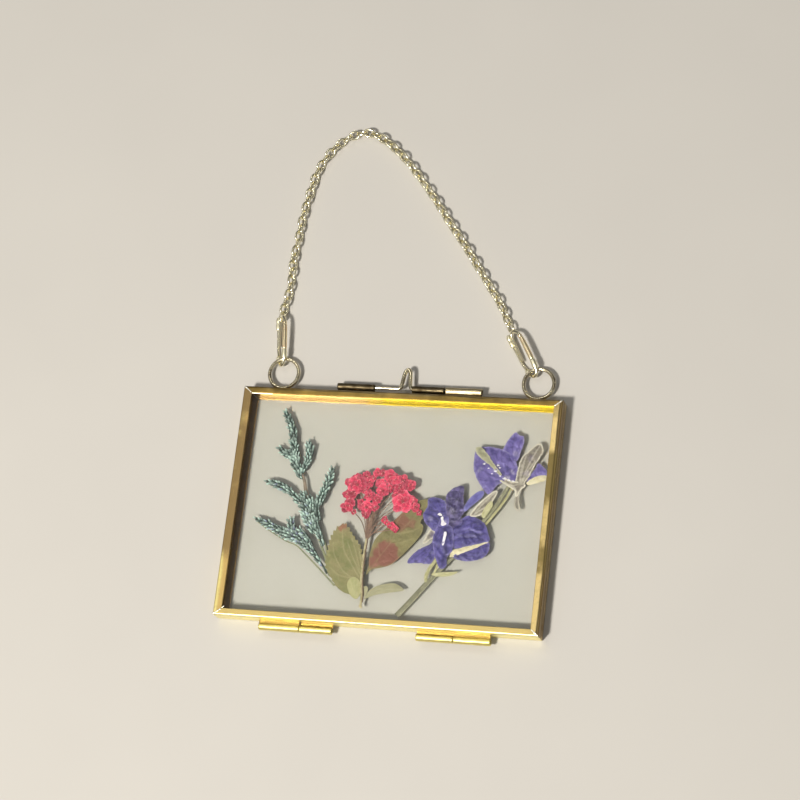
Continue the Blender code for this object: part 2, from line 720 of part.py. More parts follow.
def larkspur(stem_material, petal_material, on):
    """Two blue flowers on one pale stem."""
    stem = slab("larkspur_stem", banded(*LARKSPUR_STEM, step=1.6), STEM_LAYER, stem_material, on)
    extras = []
    for i, (name, (path, widths)) in enumerate(LARKSPUR_EXTRAS.items()):
        bottom = STEM_LAYER + UNION_STEP * (3 * i + 5)
        extras.append(slab(name, banded(path, widths), bottom, stem_material, on))
    combined(stem, extras, "UNION")
    petal_fan("larkspur_lower", LOWER_HUB, LOWER_PETALS, petal_material, on)
    petal_fan("larkspur_upper", UPPER_HUB, UPPER_PETALS, petal_material, on)
    inner = smooth(INNER_PETAL, 3, closed=True)
    slab("larkspur_inner_petal", inner, INNER_PETAL_LAYER, petal_material, on, PETAL)
    slab("larkspur_spur", smooth(SPUR, 3, closed=True), SPUR_LAYER, petal_material, on, PETAL)


def build():
    clear_scene()
    brass = finish("brass", (0.62, 0.44, 0.14), 0.25, metallic=1.0)
    gold = finish("chain_gold", (0.80, 0.68, 0.40), 0.2, metallic=1.0)
    glass = finish("glass", (0.9, 0.92, 0.9), 0.02, transmission=1.0)
    leaf = finish("dried_leaf", (0.42, 0.38, 0.2), 0.7)
    stem = finish("dried_stem", (0.6, 0.55, 0.35), 0.7)
    coral = finish("coral_petal", (0.85, 0.12, 0.2), 0.6)
    violet = finish("violet_petal", (0.16, 0.12, 0.45), 0.6)
    silver = finish("silver_green", (0.45, 0.55, 0.5), 0.6)

    back = carrier("back_half", (0, 0, 0))
    front = carrier("front_half_pivot", (0, HINGE_Y, PIVOT_Z))
    slide = carrier("latch_slide", (0, LATCH_Y, PIVOT_Z))

    for side in ("left", "right", "top", "bottom"):
        rail(f"back_rail_{side}", side, False, brass, back)
        rail(f"front_rail_{side}", side, True, brass, front)
    pane("back_glass", BACK_PANE_BOTTOM, glass, back)
    pane("front_glass", FRONT_PANE_BOTTOM, glass, front)

    for label, (outer, split, inner) in (("left", LEFT_HINGE), ("right", RIGHT_HINGE)):
        away = math.copysign(KNUCKLE_GAP / 2, outer)
        outer_ends = sorted((outer, split + away))
        inner_ends = sorted((inner, split - away))
        pin_ends = sorted((outer - away, inner + away))
        sizes = (KNUCKLE_R, KNUCKLE_BORE_R, brass)
        barrel(f"hinge_{label}_front_knuckle", outer_ends, HINGE_Y, True, *sizes, front)
        barrel(f"hinge_{label}_back_knuckle", inner_ends, HINGE_Y, False, *sizes, back)
        rod(f"hinge_{label}_pin", pin_ends, HINGE_Y, HINGE_PIN_R, brass, back)

    sizes = (LATCH_TUBE_R, LATCH_BORE_R, brass)
    barrel("latch_tube_outer", LATCH_OUTER_TUBE, LATCH_Y, False, *sizes, back)
    barrel("latch_tube_middle", LATCH_MIDDLE_TUBE, LATCH_Y, False, *sizes, back)
    barrel("latch_keeper_tube", LATCH_KEEPER_TUBE, LATCH_Y, True, *sizes, front)
    latch_pin(brass, slide)

    hanging_ring("ring_left", RING_PLACES[0], brass, back)
    hanging_ring("ring_right", RING_PLACES[1], brass, back)
    for label, place, turn, top, roll in CLASPS:
        clasp(f"clasp_{label}", place, math.radians(turn), top, math.radians(roll), gold, back)
    chain(gold, back)

    sprig(silver, back)
    leaves(leaf, back)
    spiraea(stem, coral, back)
    larkspur(stem, violet, back)


build()
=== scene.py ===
"""Pressed flower frame: brass rails, glass panes, hanging chain and dried flowers between the panes.

Everything is placed in the brass frame's own millimetres, measured from its middle: X along its width,
Y towards the hanging rings, Z out of its front. `place` turns them into the shared frame's metres.
"""

from __future__ import annotations

import logging
import math
import random
from dataclasses import dataclass, field, replace
from enum import Enum
from typing import Callable, Iterable, Sequence

import bpy
import numpy as np
from mathutils import Matrix, Vector, noise
from mathutils.geometry import delaunay_2d_cdt

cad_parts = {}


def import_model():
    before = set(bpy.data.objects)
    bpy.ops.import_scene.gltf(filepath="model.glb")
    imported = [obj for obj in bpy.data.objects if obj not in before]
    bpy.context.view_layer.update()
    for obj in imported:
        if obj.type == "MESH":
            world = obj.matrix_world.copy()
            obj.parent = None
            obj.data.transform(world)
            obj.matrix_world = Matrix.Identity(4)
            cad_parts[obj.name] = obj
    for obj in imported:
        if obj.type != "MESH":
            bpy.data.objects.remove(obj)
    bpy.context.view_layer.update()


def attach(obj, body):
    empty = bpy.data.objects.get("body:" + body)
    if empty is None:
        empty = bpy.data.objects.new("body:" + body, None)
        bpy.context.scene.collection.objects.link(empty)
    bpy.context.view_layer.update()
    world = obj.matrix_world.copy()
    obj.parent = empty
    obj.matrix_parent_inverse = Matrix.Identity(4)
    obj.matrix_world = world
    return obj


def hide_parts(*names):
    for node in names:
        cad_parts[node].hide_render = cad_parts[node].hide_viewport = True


LOG = logging.getLogger("pressed_flower_frame")

MM = 0.001
MIDDLE_Y = 3.56

Point = tuple[float, float]
Line = Sequence[Point]
Colour = tuple[float, float, float]
Socket = bpy.types.NodeSocket
Feed = float | Socket | Sequence[float]
Shape = tuple[list[tuple], list[tuple]]

FRAME_WIDTH = 90.0
FRAME_HEIGHT = 64.66
FRAME_THICKNESS = 5.8
FRONT_PANE_TOP = 5.25
PLANT_FLOOR = 2.07
PLANT_CEILING = 3.7
RING_RADIUS = 4.2
RING_MIDDLES = {"left": (-35.3, 37.5), "right": (37.0, 37.6)}


class Body(Enum):
    """The moving bodies that pieces ride on."""

    BACK = "back_half"
    FRONT = "front_half"
    LATCH = "latch"


class Trait(Enum):
    """What each vertex of a dried plant says about its place on the plant."""

    VEIN = "vein"
    RIM = "rim"
    PATCH = "patch"
    TONE = "tone"


# Curves and outlines.


def place(x: float, y: float, z: float) -> Vector:
    """The shared frame's point, in metres, for a point in the brass frame's millimetres."""
    return Vector((x * MM, (y - MIDDLE_Y) * MM, z * MM))


def blended(
    a: Sequence[float], b: Sequence[float], c: Sequence[float], d: Sequence[float], t: float
) -> tuple[float, ...]:
    """A point between b and c on the smooth curve through four points.

    Args:
        a: The point before b.
        b: Where t is 0.
        c: Where t is 1.
        d: The point after c.
        t: Share of the way from b to c.

    Returns:
        The point, with as many numbers as the given ones.
    """
    return tuple(
        0.5 * (2 * q + (r - p) * t + (2 * p - 5 * q + 4 * r - s) * t**2 + (3 * q - p - 3 * r + s) * t**3)
        for p, q, r, s in zip(a, b, c, d)
    )


def smooth(points: Sequence[Sequence[float]], steps: int, closed: bool = False) -> list[tuple]:
    """Points on the smooth curve through the given ones.

    Args:
        points: Points of two or more numbers each.
        steps: How many points lie from each given point to the next.
        closed: Whether the curve returns to its first point.

    Returns:
        The curve's points in order.
    """
    count = len(points)

    def at(i: int) -> Sequence[float]:
        """The point at an index, held at the ends of an open curve."""
        return points[i % count] if closed else points[min(max(i, 0), count - 1)]

    curve = [
        blended(at(i - 1), at(i), at(i + 1), at(i + 2), k / steps)
        for i in range(count if closed else count - 1)
        for k in range(steps)
    ]
    return curve if closed else [*curve, tuple(points[-1])]


def curves(*lines: Line) -> tuple[list[tuple], ...]:
    """The smooth curve through each line's points."""
    return tuple(smooth(line, 4) for line in lines)


def spaced(points: Sequence[Sequence[float]], step: float) -> list[tuple]:
    """Points about one step apart along a line.

    Args:
        points: The line's own points.
        step: The distance wanted between neighbours.

    Returns:
        Evenly spaced points, the line's two ends among them.
    """
    lengths = [math.dist(a[:3], b[:3]) for a, b in zip(points, points[1:])]
    count = max(1, round(sum(lengths) / step))
    placed = []
    for k in range(count):
        rest = sum(lengths) * k / count
        for a, b, length in zip(points, points[1:], lengths):
            if rest < length:
                break
            rest -= length
        placed.append(tuple(p + (q - p) * rest / length for p, q in zip(a, b)))
    return [*placed, tuple(points[-1])]


def distance_to(points: np.ndarray, line: np.ndarray) -> np.ndarray:
    """How far each point is from a line.

    Args:
        points: Rows of x and y.
        line: Rows of x and y, two at least.

    Returns:
        One distance for each point.
    """
    start, span = line[:-1], line[1:] - line[:-1]
    away = points[:, None, :] - start[None]
    share = (away * span).sum(-1) / np.maximum((span**2).sum(-1), 1e-12)
    share = np.clip(share, 0.0, 1.0)
    return np.linalg.norm(away - share[..., None] * span, axis=-1).min(axis=1)


def inside(points: np.ndarray, outline: np.ndarray) -> np.ndarray:
    """Whether each point lies inside a closed outline.

    Args:
        points: Rows of x and y.
        outline: Rows of x and y, the last joined to the first.

    Returns:
        One truth value for each point.
    """
    start, end = outline, np.roll(outline, -1, axis=0)
    x, y = points[:, :1], points[:, 1:]
    spans = (start[:, 1] > y) != (end[:, 1] > y)
    rise = np.where(end[:, 1] == start[:, 1], 1e-12, end[:, 1] - start[:, 1])
    crossing = start[:, 0] + (y - start[:, 1]) * (end[:, 0] - start[:, 0]) / rise
    return (spans & (x < crossing)).sum(axis=1) % 2 == 1


# Meshes.


@dataclass
class Draft:
    """Vertices in millimetres and faces that grow into one piece, with plant traits for each vertex."""

    vertices: list[tuple[float, float, float]] = field(default_factory=list)
    faces: list[tuple[int, ...]] = field(default_factory=list)
    slots: list[int] = field(default_factory=list)
    traits: list[dict[Trait, float]] = field(default_factory=list)

    def add(
        self,
        vertices: Iterable[Sequence[float]],
        faces: Iterable[Sequence[int]],
        slot: int = 0,
        traits: Sequence[dict[Trait, float]] | dict[Trait, float] | None = None,
    ) -> None:
        """Adds a closed shape.

        Args:
            vertices: Points in the brass frame's millimetres.
            faces: Indices into those points.
            slot: The material slot of its faces.
            traits: One set for all its vertices, or one for each.
        """
        first = len(self.vertices)
        new = [tuple(float(v) for v in vertex) for vertex in vertices]
        self.vertices += new
        for face in faces:
            self.faces.append(tuple(first + i for i in face))
            self.slots.append(slot)
        self.traits += [traits or {}] * len(new) if not isinstance(traits, (list, tuple)) else list(traits)

    def piece(self, name: str, materials: Sequence[bpy.types.Material], sharp: float) -> bpy.types.Object:
        """Builds the object.

        Args:
            name: The piece's name.
            materials: Its material slots in order.
            sharp: The angle in degrees above which an edge stays sharp.

        Returns:
            The object, in the scene's collection.
        """
        mesh = bpy.data.meshes.new(name)
        mesh.from_pydata([place(*vertex) for vertex in self.vertices], [], self.faces)
        for material in materials:
            mesh.materials.append(material)
        mesh.polygons.foreach_set("material_index", self.slots)
        for trait in Trait:
            if any(trait in given for given in self.traits):
                layer = mesh.attributes.new(trait.value, "FLOAT", "POINT")
                layer.data.foreach_set("value", [given.get(trait, 0.0) for given in self.traits])
        mesh.validate()
        mesh.shade_smooth()
        mesh.set_sharp_from_angle(angle=math.radians(sharp))
        obj = bpy.data.objects.new(name, mesh)
        bpy.context.scene.collection.objects.link(obj)
        return obj


def tube_faces(rings: int, sides: int, closed: bool) -> list[tuple]:
    """The faces between rings of points that follow each other.

    Args:
        rings: How many rings there are.
        sides: Points in each ring.
        closed: Whether the last ring joins the first.

    Returns:
        The faces.
    """
    faces = []
    for i in range(rings if closed else rings - 1):
        low, high = i * sides, (i + 1) % rings * sides
        for k in range(sides):
            j = (k + 1) % sides
            faces.append((low + k, low + j, high + j, high + k))
    return faces


def swept(
    points: Sequence[Sequence[float]],
    radii: Sequence[float],
    sides: int = 10,
    flatten: float = 1.0,
    closed: bool = False,
) -> Shape:
    """A round bar along a line.

    Args:
        points: The line, as points in space.
        radii: The bar's radius at each point.
        sides: Points round it.
        flatten: Its height as a share of its width.
        closed: Whether it joins its own start.

    Returns:
        Vertices and faces of a closed shape.
    """
    path = [Vector(point) for point in points]
    count = len(path)
    up = Vector((0.0, 0.0, 1.0))
    vertices: list[tuple] = []
    for i, point in enumerate(path):
        if closed:
            ahead = (path[(i + 1) % count] - path[i - 1]).normalized()
        else:
            ahead = (path[min(i + 1, count - 1)] - path[max(i - 1, 0)]).normalized()
        side = ahead.cross(up)
        if side.length < 1e-4:
            side = ahead.cross(Vector((0.3, 1.0, 0.1)))
        side.normalize()
        rise = side.cross(ahead).normalized()
        if not closed:
            up = rise
        for k in range(sides):
            turn = 2 * math.pi * k / sides
            out = side * math.cos(turn) * radii[i] + rise * math.sin(turn) * radii[i] * flatten
            vertices.append(tuple(point + out))
    faces = tube_faces(count, sides, closed)
    if not closed:
        faces.append(tuple(range(sides))[::-1])
        faces.append(tuple(range((count - 1) * sides, count * sides)))
    return vertices, faces


def pebble(middle: Sequence[float], axes: Matrix, sides: int = 8, bands: int = 5) -> Shape:
    """A rounded grain.

    Args:
        middle: Its centre.
        axes: A 3 by 3 matrix whose columns are its half axes.
        sides: Points round it.
        bands: Rows of faces from end to end.

    Returns:
        Vertices and faces of a closed shape.
    """
    centre = Vector(middle)
    vertices = [tuple(centre + axes @ Vector((1.0, 0.0, 0.0)))]
    for i in range(1, bands):
        turn = math.pi * i / bands
        for k in range(sides):
            around = 2 * math.pi * k / sides
            side = math.sin(turn)
            ring = Vector((math.cos(turn), side * math.cos(around), side * math.sin(around)))
            vertices.append(tuple(centre + axes @ ring))
    vertices.append(tuple(centre + axes @ Vector((-1.0, 0.0, 0.0))))
    last = len(vertices) - 1
    faces = []
    for k in range(sides):
        j = (k + 1) % sides
        faces.append((0, 1 + k, 1 + j))
        faces.append((last, last - sides + j, last - sides + k))
        for i in range(bands - 2):
            low = 1 + i * sides
            faces.append((low + k, low + sides + k, low + sides + j, low + j))
    return vertices, faces


# A blade's grid, as shares of its spacing: the height of a row, a step of a ragged edge, the gap to the edge.
ROW_HEIGHT = 0.866
EDGE_STEP = 1.4
EDGE_GAP = 0.55

# The noise that moves a ragged edge, and the wander and softness of a patch's rim.
RAGGED_SCALE = 1.7
RAGGED_SHIFT = (31.4, -17.2, 5.3)
PATCH_WANDER = 0.9
PATCH_SOFTNESS = 0.16


@dataclass(frozen=True)
class Blade:
    """A thin petal or leaf.

    Its edge is the smooth closed curve through an outline, with `steps` points from each given one to the
    next, made uneven by `ragged`. It rises by `crown` from its edge to its middle and
    by `ridge` along its veins, ripples slowly by `ripple` and is crumpled finely by `crumple`.
    """

    outline: Line
    height: float
    veins: Sequence[Line] = ()
    vein_width: float = 0.16
    steps: int = 4
    slot: int = 0
    thickness: float = 0.07
    crown: float = 0.12
    crown_reach: float = 1.2
    ridge: float = 0.03
    ripple: float = 0.05
    ripple_size: float = 2.2
    crumple: float = 0.0
    crumple_size: float = 1.3
    ragged: float = 0.0
    rim_width: float = 0.35
    spacing: float = 0.26
    tone: float = 0.5
    seed: float = 0.0
    creases: Sequence[tuple[Line, float, float]] = ()
    patches: Sequence[tuple[float, float, float, float]] = ()

    def edge(self) -> np.ndarray:
        """The smoothed outline with its unevenness.

        Returns:
            Rows of x and y.
        """
        curve = smooth(self.outline, self.steps, closed=True)
        if not self.ragged:
            return np.array(curve, dtype=float)
        moved = []
        for x, y in spaced([*curve, curve[0]], self.spacing * EDGE_STEP)[:-1]:
            spot = (x * RAGGED_SCALE, y * RAGGED_SCALE, self.seed)
            other = [at + shift for at, shift in zip(spot, RAGGED_SHIFT)]
            across, along = (noise.noise(Vector(at)) * self.ragged for at in (spot, other))
            moved.append((x + across, y + along))
        return np.array(moved)

    def mesh_points(self) -> tuple[np.ndarray, np.ndarray, list[tuple[int, ...]]]:
        """Fills the outline with points.

        Returns:
            The outline, all the points inside and on it, and the triangles between them.
        """
        ring = self.edge()
        low, high = ring.min(axis=0), ring.max(axis=0)
        rows = []
        for j, y in enumerate(np.arange(low[1], high[1], self.spacing * ROW_HEIGHT)):
            shift = self.spacing / 2 if j % 2 else 0.0
            rows += [(x, y) for x in np.arange(low[0] + shift, high[0], self.spacing)]
        grid = np.array(rows)
        grid = grid[inside(grid, ring)]
        joined = np.vstack([ring, ring[:1]])
        if len(grid):
            grid = grid[distance_to(grid, joined) > self.spacing * EDGE_GAP]
        points = [Vector(point) for point in [*ring.tolist(), *grid.tolist()]]
        made = delaunay_2d_cdt(points, [], [list(range(len(ring)))], 1, 1e-5)
        return joined, np.array([tuple(vertex) for vertex in made[0]]), [tuple(face) for face in made[2]]

    def add_to(self, draft: Draft) -> None:
        """Adds the blade to a draft as a thin closed shell.

        Args:
            draft: The piece that it is part of.
        """
        ring, points, triangles = self.mesh_points()
        rim = distance_to(points, ring)
        vein = np.zeros(len(points))
        for line in self.veins:
            near = distance_to(points, np.array(line, dtype=float))
            vein = np.maximum(vein, np.exp(-((near / self.vein_width) ** 2)))
        patch = np.zeros(len(points))
        for x, y, radius, strength in self.patches:
            spots = [Vector((px * PATCH_WANDER, py * PATCH_WANDER, self.seed)) for px, py in points]
            wobble = np.array([noise.noise(spot) for spot in spots])
            away = np.hypot(points[:, 0] - x, points[:, 1] - y) + wobble * PATCH_WANDER
            patch = np.maximum(patch, strength / (1 + np.exp((away - radius) / PATCH_SOFTNESS)))
        height = self.height + self.crown * (1 - np.exp(-((rim / self.crown_reach) ** 2)))
        height += self.ridge * vein
        for line, depth, width in self.creases:
            near = distance_to(points, np.array(line, dtype=float))
            height += depth * np.exp(-((near / width) ** 2))
        for i, (px, py) in enumerate(points):
            slow = Vector((px / self.ripple_size, py / self.ripple_size, self.seed))
            fine = Vector((px / self.crumple_size, py / self.crumple_size, self.seed + 9))
            height[i] += self.ripple * noise.fractal(slow, 1.0, 2.0, 3)
            height[i] += self.crumple * (1 - 3 * abs(noise.noise(fine)))
        height = np.clip(height, PLANT_FLOOR + self.thickness, PLANT_CEILING)
        count = len(points)
        top = [(x, y, z) for (x, y), z in zip(points, height)]
        bottom = [(x, y, z - self.thickness) for x, y, z in top]
        faces: list[tuple[int, ...]] = []
        edges: dict[tuple[int, int], int] = {}
        for face in triangles:
            (ax, ay), (bx, by), (cx, cy) = (points[i] for i in face[:3])
            if (bx - ax) * (cy - ay) - (by - ay) * (cx - ax) < 0:
                face = face[::-1]
            faces.append(face)
            faces.append(tuple(i + count for i in face[::-1]))
            for a, b in zip(face, face[1:] + face[:1]):
                edges[(a, b)] = edges.get((a, b), 0) + 1
        faces += [(b, a, a + count, b + count) for a, b in edges if (b, a) not in edges]
        near_rim = np.exp(-((rim / self.rim_width) ** 2))
        traits = [
            {Trait.VEIN: v, Trait.RIM: r, Trait.PATCH: p, Trait.TONE: self.tone}
            for v, r, p in zip(vein, near_rim, patch)
        ]
        draft.add([*top, *bottom], faces, self.slot, traits * 2)


def fan(root: Point, ends: Iterable[Point], bow: float = 0.0) -> tuple[Line, ...]:
    """Veins that spread from one point.

    Args:
        root: Where they start.
        ends: Where each ends.
        bow: How far each bows sideways, as a share of its length.

    Returns:
        One line for each vein.
    """
    lines = []
    for x, y in ends:
        dx, dy = x - root[0], y - root[1]
        middle = (root[0] + dx * 0.5 - dy * bow, root[1] + dy * 0.5 + dx * bow)
        lines.append(tuple(smooth((root, middle, (x, y)), 5)))
    return tuple(lines)


# Shading.


class Canvas:
    """A node tree being filled, with short ways to add its nodes."""

    def __init__(self, tree: bpy.types.NodeTree) -> None:
        """Keeps the tree to fill."""
        self.tree = tree

    def feed(self, socket: Socket, value: Feed) -> None:
        """Links a socket to another one, or sets its own value.

        Args:
            socket: The socket that takes the value.
            value: Another socket, a number, or a colour.
        """
        if isinstance(value, bpy.types.NodeSocket):
            self.tree.links.new(value, socket)
        elif isinstance(value, (tuple, list)) and socket.type == "RGBA":
            socket.default_value = (*value[:3], 1.0)
        else:
            socket.default_value = value

    def add(
        self, kind: str, inputs: dict[str | int, Feed] | None = None, **settings: object
    ) -> bpy.types.Node:
        """Adds one node.

        Args:
            kind: The node's type.
            inputs: A value or a link for each input, by name or number.
            **settings: The node's own properties.

        Returns:
            The node.
        """
        made = self.tree.nodes.new(kind)
        for key, value in settings.items():
            setattr(made, key, value)
        self.fill(made, inputs or {})
        return made

    def fill(self, node: bpy.types.Node, inputs: dict[str | int, Feed]) -> None:
        """Sets or links a node's inputs, by name or number."""
        for key, value in inputs.items():
            self.feed(node.inputs[key], value)

    def group(self, tree: bpy.types.NodeTree, inputs: dict[str, Feed]) -> bpy.types.bpy_prop_collection:
        """The outputs of a shared effect."""
        return self.add("ShaderNodeGroup", inputs, node_tree=tree).outputs

    def maths(self, operation: str, *values: Feed, clamp: bool = False) -> Socket:
        """A sum on values or links."""
        node = self.add("ShaderNodeMath", dict(enumerate(values)), operation=operation, use_clamp=clamp)
        return node.outputs[0]

    def mixed(self, share: Feed, first: Feed, second: Feed, blend: str = "MIX") -> Socket:
        """Two colours mixed by a share."""
        inputs = {0: share, 6: first, 7: second}
        return self.add("ShaderNodeMix", inputs, data_type="RGBA", blend_type=blend).outputs[2]

    def tinted(self, colour: Feed, mask: Feed, amount: float, tint: Feed) -> Socket:
        """A colour mixed with a tint by an amount, where a mask is set."""
        return self.mixed(self.maths("MULTIPLY", mask, amount), colour, tint)

    def shaded(self, colour: Feed, shade: Socket) -> Socket:
        """A colour multiplied by a value."""
        grey = self.add("ShaderNodeCombineColor", {0: shade, 1: shade, 2: shade}).outputs[0]
        return self.mixed(1.0, colour, grey, "MULTIPLY")

    def between(self, value: Feed, low: float, high: float, start: float = 0.0, end: float = 1.0) -> Socket:
        """A value that goes smoothly from start at low to end at high."""
        inputs = {0: value, 1: low, 2: high, 3: start, 4: end}
        return self.add("ShaderNodeMapRange", inputs, interpolation_type="SMOOTHSTEP").outputs[0]

    def cloud(self, coordinates: Socket, scale: Feed, detail: float = 3.0, roughness: float = 0.55) -> Socket:
        """Soft noise of a scale."""
        inputs = {"Vector": coordinates, "Scale": scale, "Detail": detail, "Roughness": roughness}
        return self.add("ShaderNodeTexNoise", inputs).outputs[0]

    def stretched(self, coordinates: Socket, by: Sequence[float]) -> Socket:
        """Coordinates multiplied by three numbers."""
        return self.add("ShaderNodeVectorMath", {0: coordinates, 1: by}, operation="MULTIPLY").outputs[0]

    def millimetres(self) -> Socket:
        """The object's own coordinates in millimetres."""
        place_here = self.add("ShaderNodeTexCoord").outputs["Object"]
        return self.stretched(place_here, (1 / MM, 1 / MM, 1 / MM))

    def trait(self, trait: Trait) -> Socket:
        """A plant trait of the piece."""
        return self.add("ShaderNodeAttribute", attribute_name=trait.value).outputs["Fac"]

    def bump(self, height: Socket, strength: float, distance: float) -> Socket:
        """A normal raised by a height, whose full rise is a distance in millimetres."""
        inputs = {"Height": height, "Strength": strength, "Distance": distance * MM}
        return self.add("ShaderNodeBump", inputs).outputs[0]


FLOAT = "NodeSocketFloat"
VECTOR = "NodeSocketVector"


def effect(name: str, inputs: dict[str, str], outputs: dict[str, str]) -> tuple[Canvas, dict, dict]:
    """An empty shader node group.

    Args:
        name: The group's name.
        inputs: The socket type of each named input.
        outputs: The socket type of each named output.

    Returns:
        The canvas to fill, its given sockets by name and its result sockets by name.
    """
    tree = bpy.data.node_groups.new(name, "ShaderNodeTree")
    for label, kind in inputs.items():
        tree.interface.new_socket(name=label, in_out="INPUT", socket_type=kind)
    for label, kind in outputs.items():
        tree.interface.new_socket(name=label, in_out="OUTPUT", socket_type=kind)
    canvas = Canvas(tree)
    given = canvas.add("NodeGroupInput").outputs
    result = canvas.add("NodeGroupOutput").inputs
    return canvas, {label: given[label] for label in inputs}, {label: result[label] for label in outputs}


def tarnish_effect() -> bpy.types.NodeTree:
    """Tarnish in soft patches with fingermarks.

    Returns:
        A group that puts out the tarnished share of the surface and its grime.
    """
    canvas, given, result = effect(
        "metal_tarnish",
        {"Coordinates": VECTOR, "Scale": FLOAT, "Share": FLOAT},
        {"Tarnish": FLOAT, "Grime": FLOAT},
    )
    broad = canvas.cloud(given["Coordinates"], given["Scale"], 4.0, 0.6)
    lifted = canvas.maths("ADD", broad, canvas.maths("SUBTRACT", given["Share"], 0.5))
    canvas.feed(result["Tarnish"], canvas.between(lifted, 0.32, 0.7))
    fine = canvas.cloud(given["Coordinates"], canvas.maths("MULTIPLY", given["Scale"], 9.0), 5.0, 0.7)
    canvas.feed(result["Grime"], canvas.between(fine, 0.5, 0.75))
    return canvas.tree


def brushed_effect() -> bpy.types.NodeTree:
    """Fine drawn lines and a few longer scratches.

    Returns:
        A group that puts out the lines' height and a mask of the scratches.
    """
    canvas, given, result = effect(
        "drawn_lines", {"Coordinates": VECTOR, "Scale": FLOAT}, {"Height": FLOAT, "Scratches": FLOAT}
    )
    lines = canvas.cloud(given["Coordinates"], given["Scale"], 3.0, 0.6)
    sparse = canvas.cloud(given["Coordinates"], canvas.maths("MULTIPLY", given["Scale"], 0.37), 2.0, 0.5)
    scratches = canvas.between(sparse, 0.66, 0.7)
    canvas.feed(result["Scratches"], scratches)
    canvas.feed(result["Height"], canvas.maths("SUBTRACT", lines, canvas.maths("MULTIPLY", scratches, 0.4)))
    return canvas.tree


def tissue_effect() -> bpy.types.NodeTree:
    """The cell grain, blotches and creases of a dried leaf or petal, with a mask for the shade painted along
    the creases.

    Returns:
        A group that puts out the masks of the blotches, the fibres and the creases' painted shade, and their
        height.
    """
    canvas, given, result = effect(
        "dried_tissue",
        {"Coordinates": VECTOR, "Blotch": FLOAT, "Fibre": FLOAT, "Crease": FLOAT},
        {"Blotches": FLOAT, "Fibres": FLOAT, "CreaseShade": FLOAT, "Height": FLOAT},
    )
    blotch = canvas.cloud(given["Coordinates"], given["Blotch"], 4.0, 0.62)
    canvas.feed(result["Blotches"], canvas.between(blotch, 0.36, 0.68))
    fibres = canvas.cloud(given["Coordinates"], given["Fibre"], 3.0, 0.7)
    cells = canvas.add(
        "ShaderNodeTexVoronoi",
        {"Vector": given["Coordinates"], "Scale": canvas.maths("MULTIPLY", given["Fibre"], 1.4)},
        feature="F1",
    ).outputs["Distance"]
    canvas.feed(result["Fibres"], canvas.between(fibres, 0.42, 0.66))
    folded = canvas.cloud(given["Coordinates"], given["Crease"], 2.0, 0.5)
    valley = canvas.maths("ABSOLUTE", canvas.maths("SUBTRACT", folded, 0.5))
    # Painted shade: a mask along the bottoms of the creases.
    canvas.feed(result["CreaseShade"], canvas.between(valley, 0.0, 0.045, 1.0, 0.0))
    grain = canvas.maths("ADD", fibres, canvas.maths("MULTIPLY", cells, 0.6))
    canvas.feed(result["Height"], canvas.maths("ADD", grain, canvas.between(valley, 0.0, 0.12, 0.0, 1.4)))
    return canvas.tree


@dataclass(frozen=True)
class Effects:
    """The shader node groups that the finishes share."""

    tarnish: bpy.types.NodeTree
    brushed: bpy.types.NodeTree
    tissue: bpy.types.NodeTree


def shader(name: str) -> tuple[bpy.types.Material, Canvas, bpy.types.Node]:
    """A new material.

    Args:
        name: Its name.

    Returns:
        The material, its canvas and its Principled BSDF.
    """
    material = bpy.data.materials.new(name)
    material.use_nodes = True
    return material, Canvas(material.node_tree), material.node_tree.nodes["Principled BSDF"]


@dataclass(frozen=True)
class EdgeLight:
    """The rounded outer edge of a rail or tube, where its face rounds off to its wall, with light painted on
    it.

    It starts at one distance from the middle along an axis and is full at another, in millimetres. There the
    face falls away by `fall` and takes the edge's colour: a painted highlight on the golden, top and back
    rails, painted shade on the right rail's outer wall and on the hinge tubes' side towards the frame.
    """

    axis: int
    start: float
    full: float
    colour: Colour
    fall: float = 0.12
    wander: float = 1.2
    wander_scale: float = 0.8


# How much each axis counts in a metal's drawn lines: little along the way that they run.
ALONG_X = (0.12, 1.0, 1.0)
ALONG_Y = (1.0, 0.12, 1.0)
EVENLY = (1.0, 1.0, 1.0)


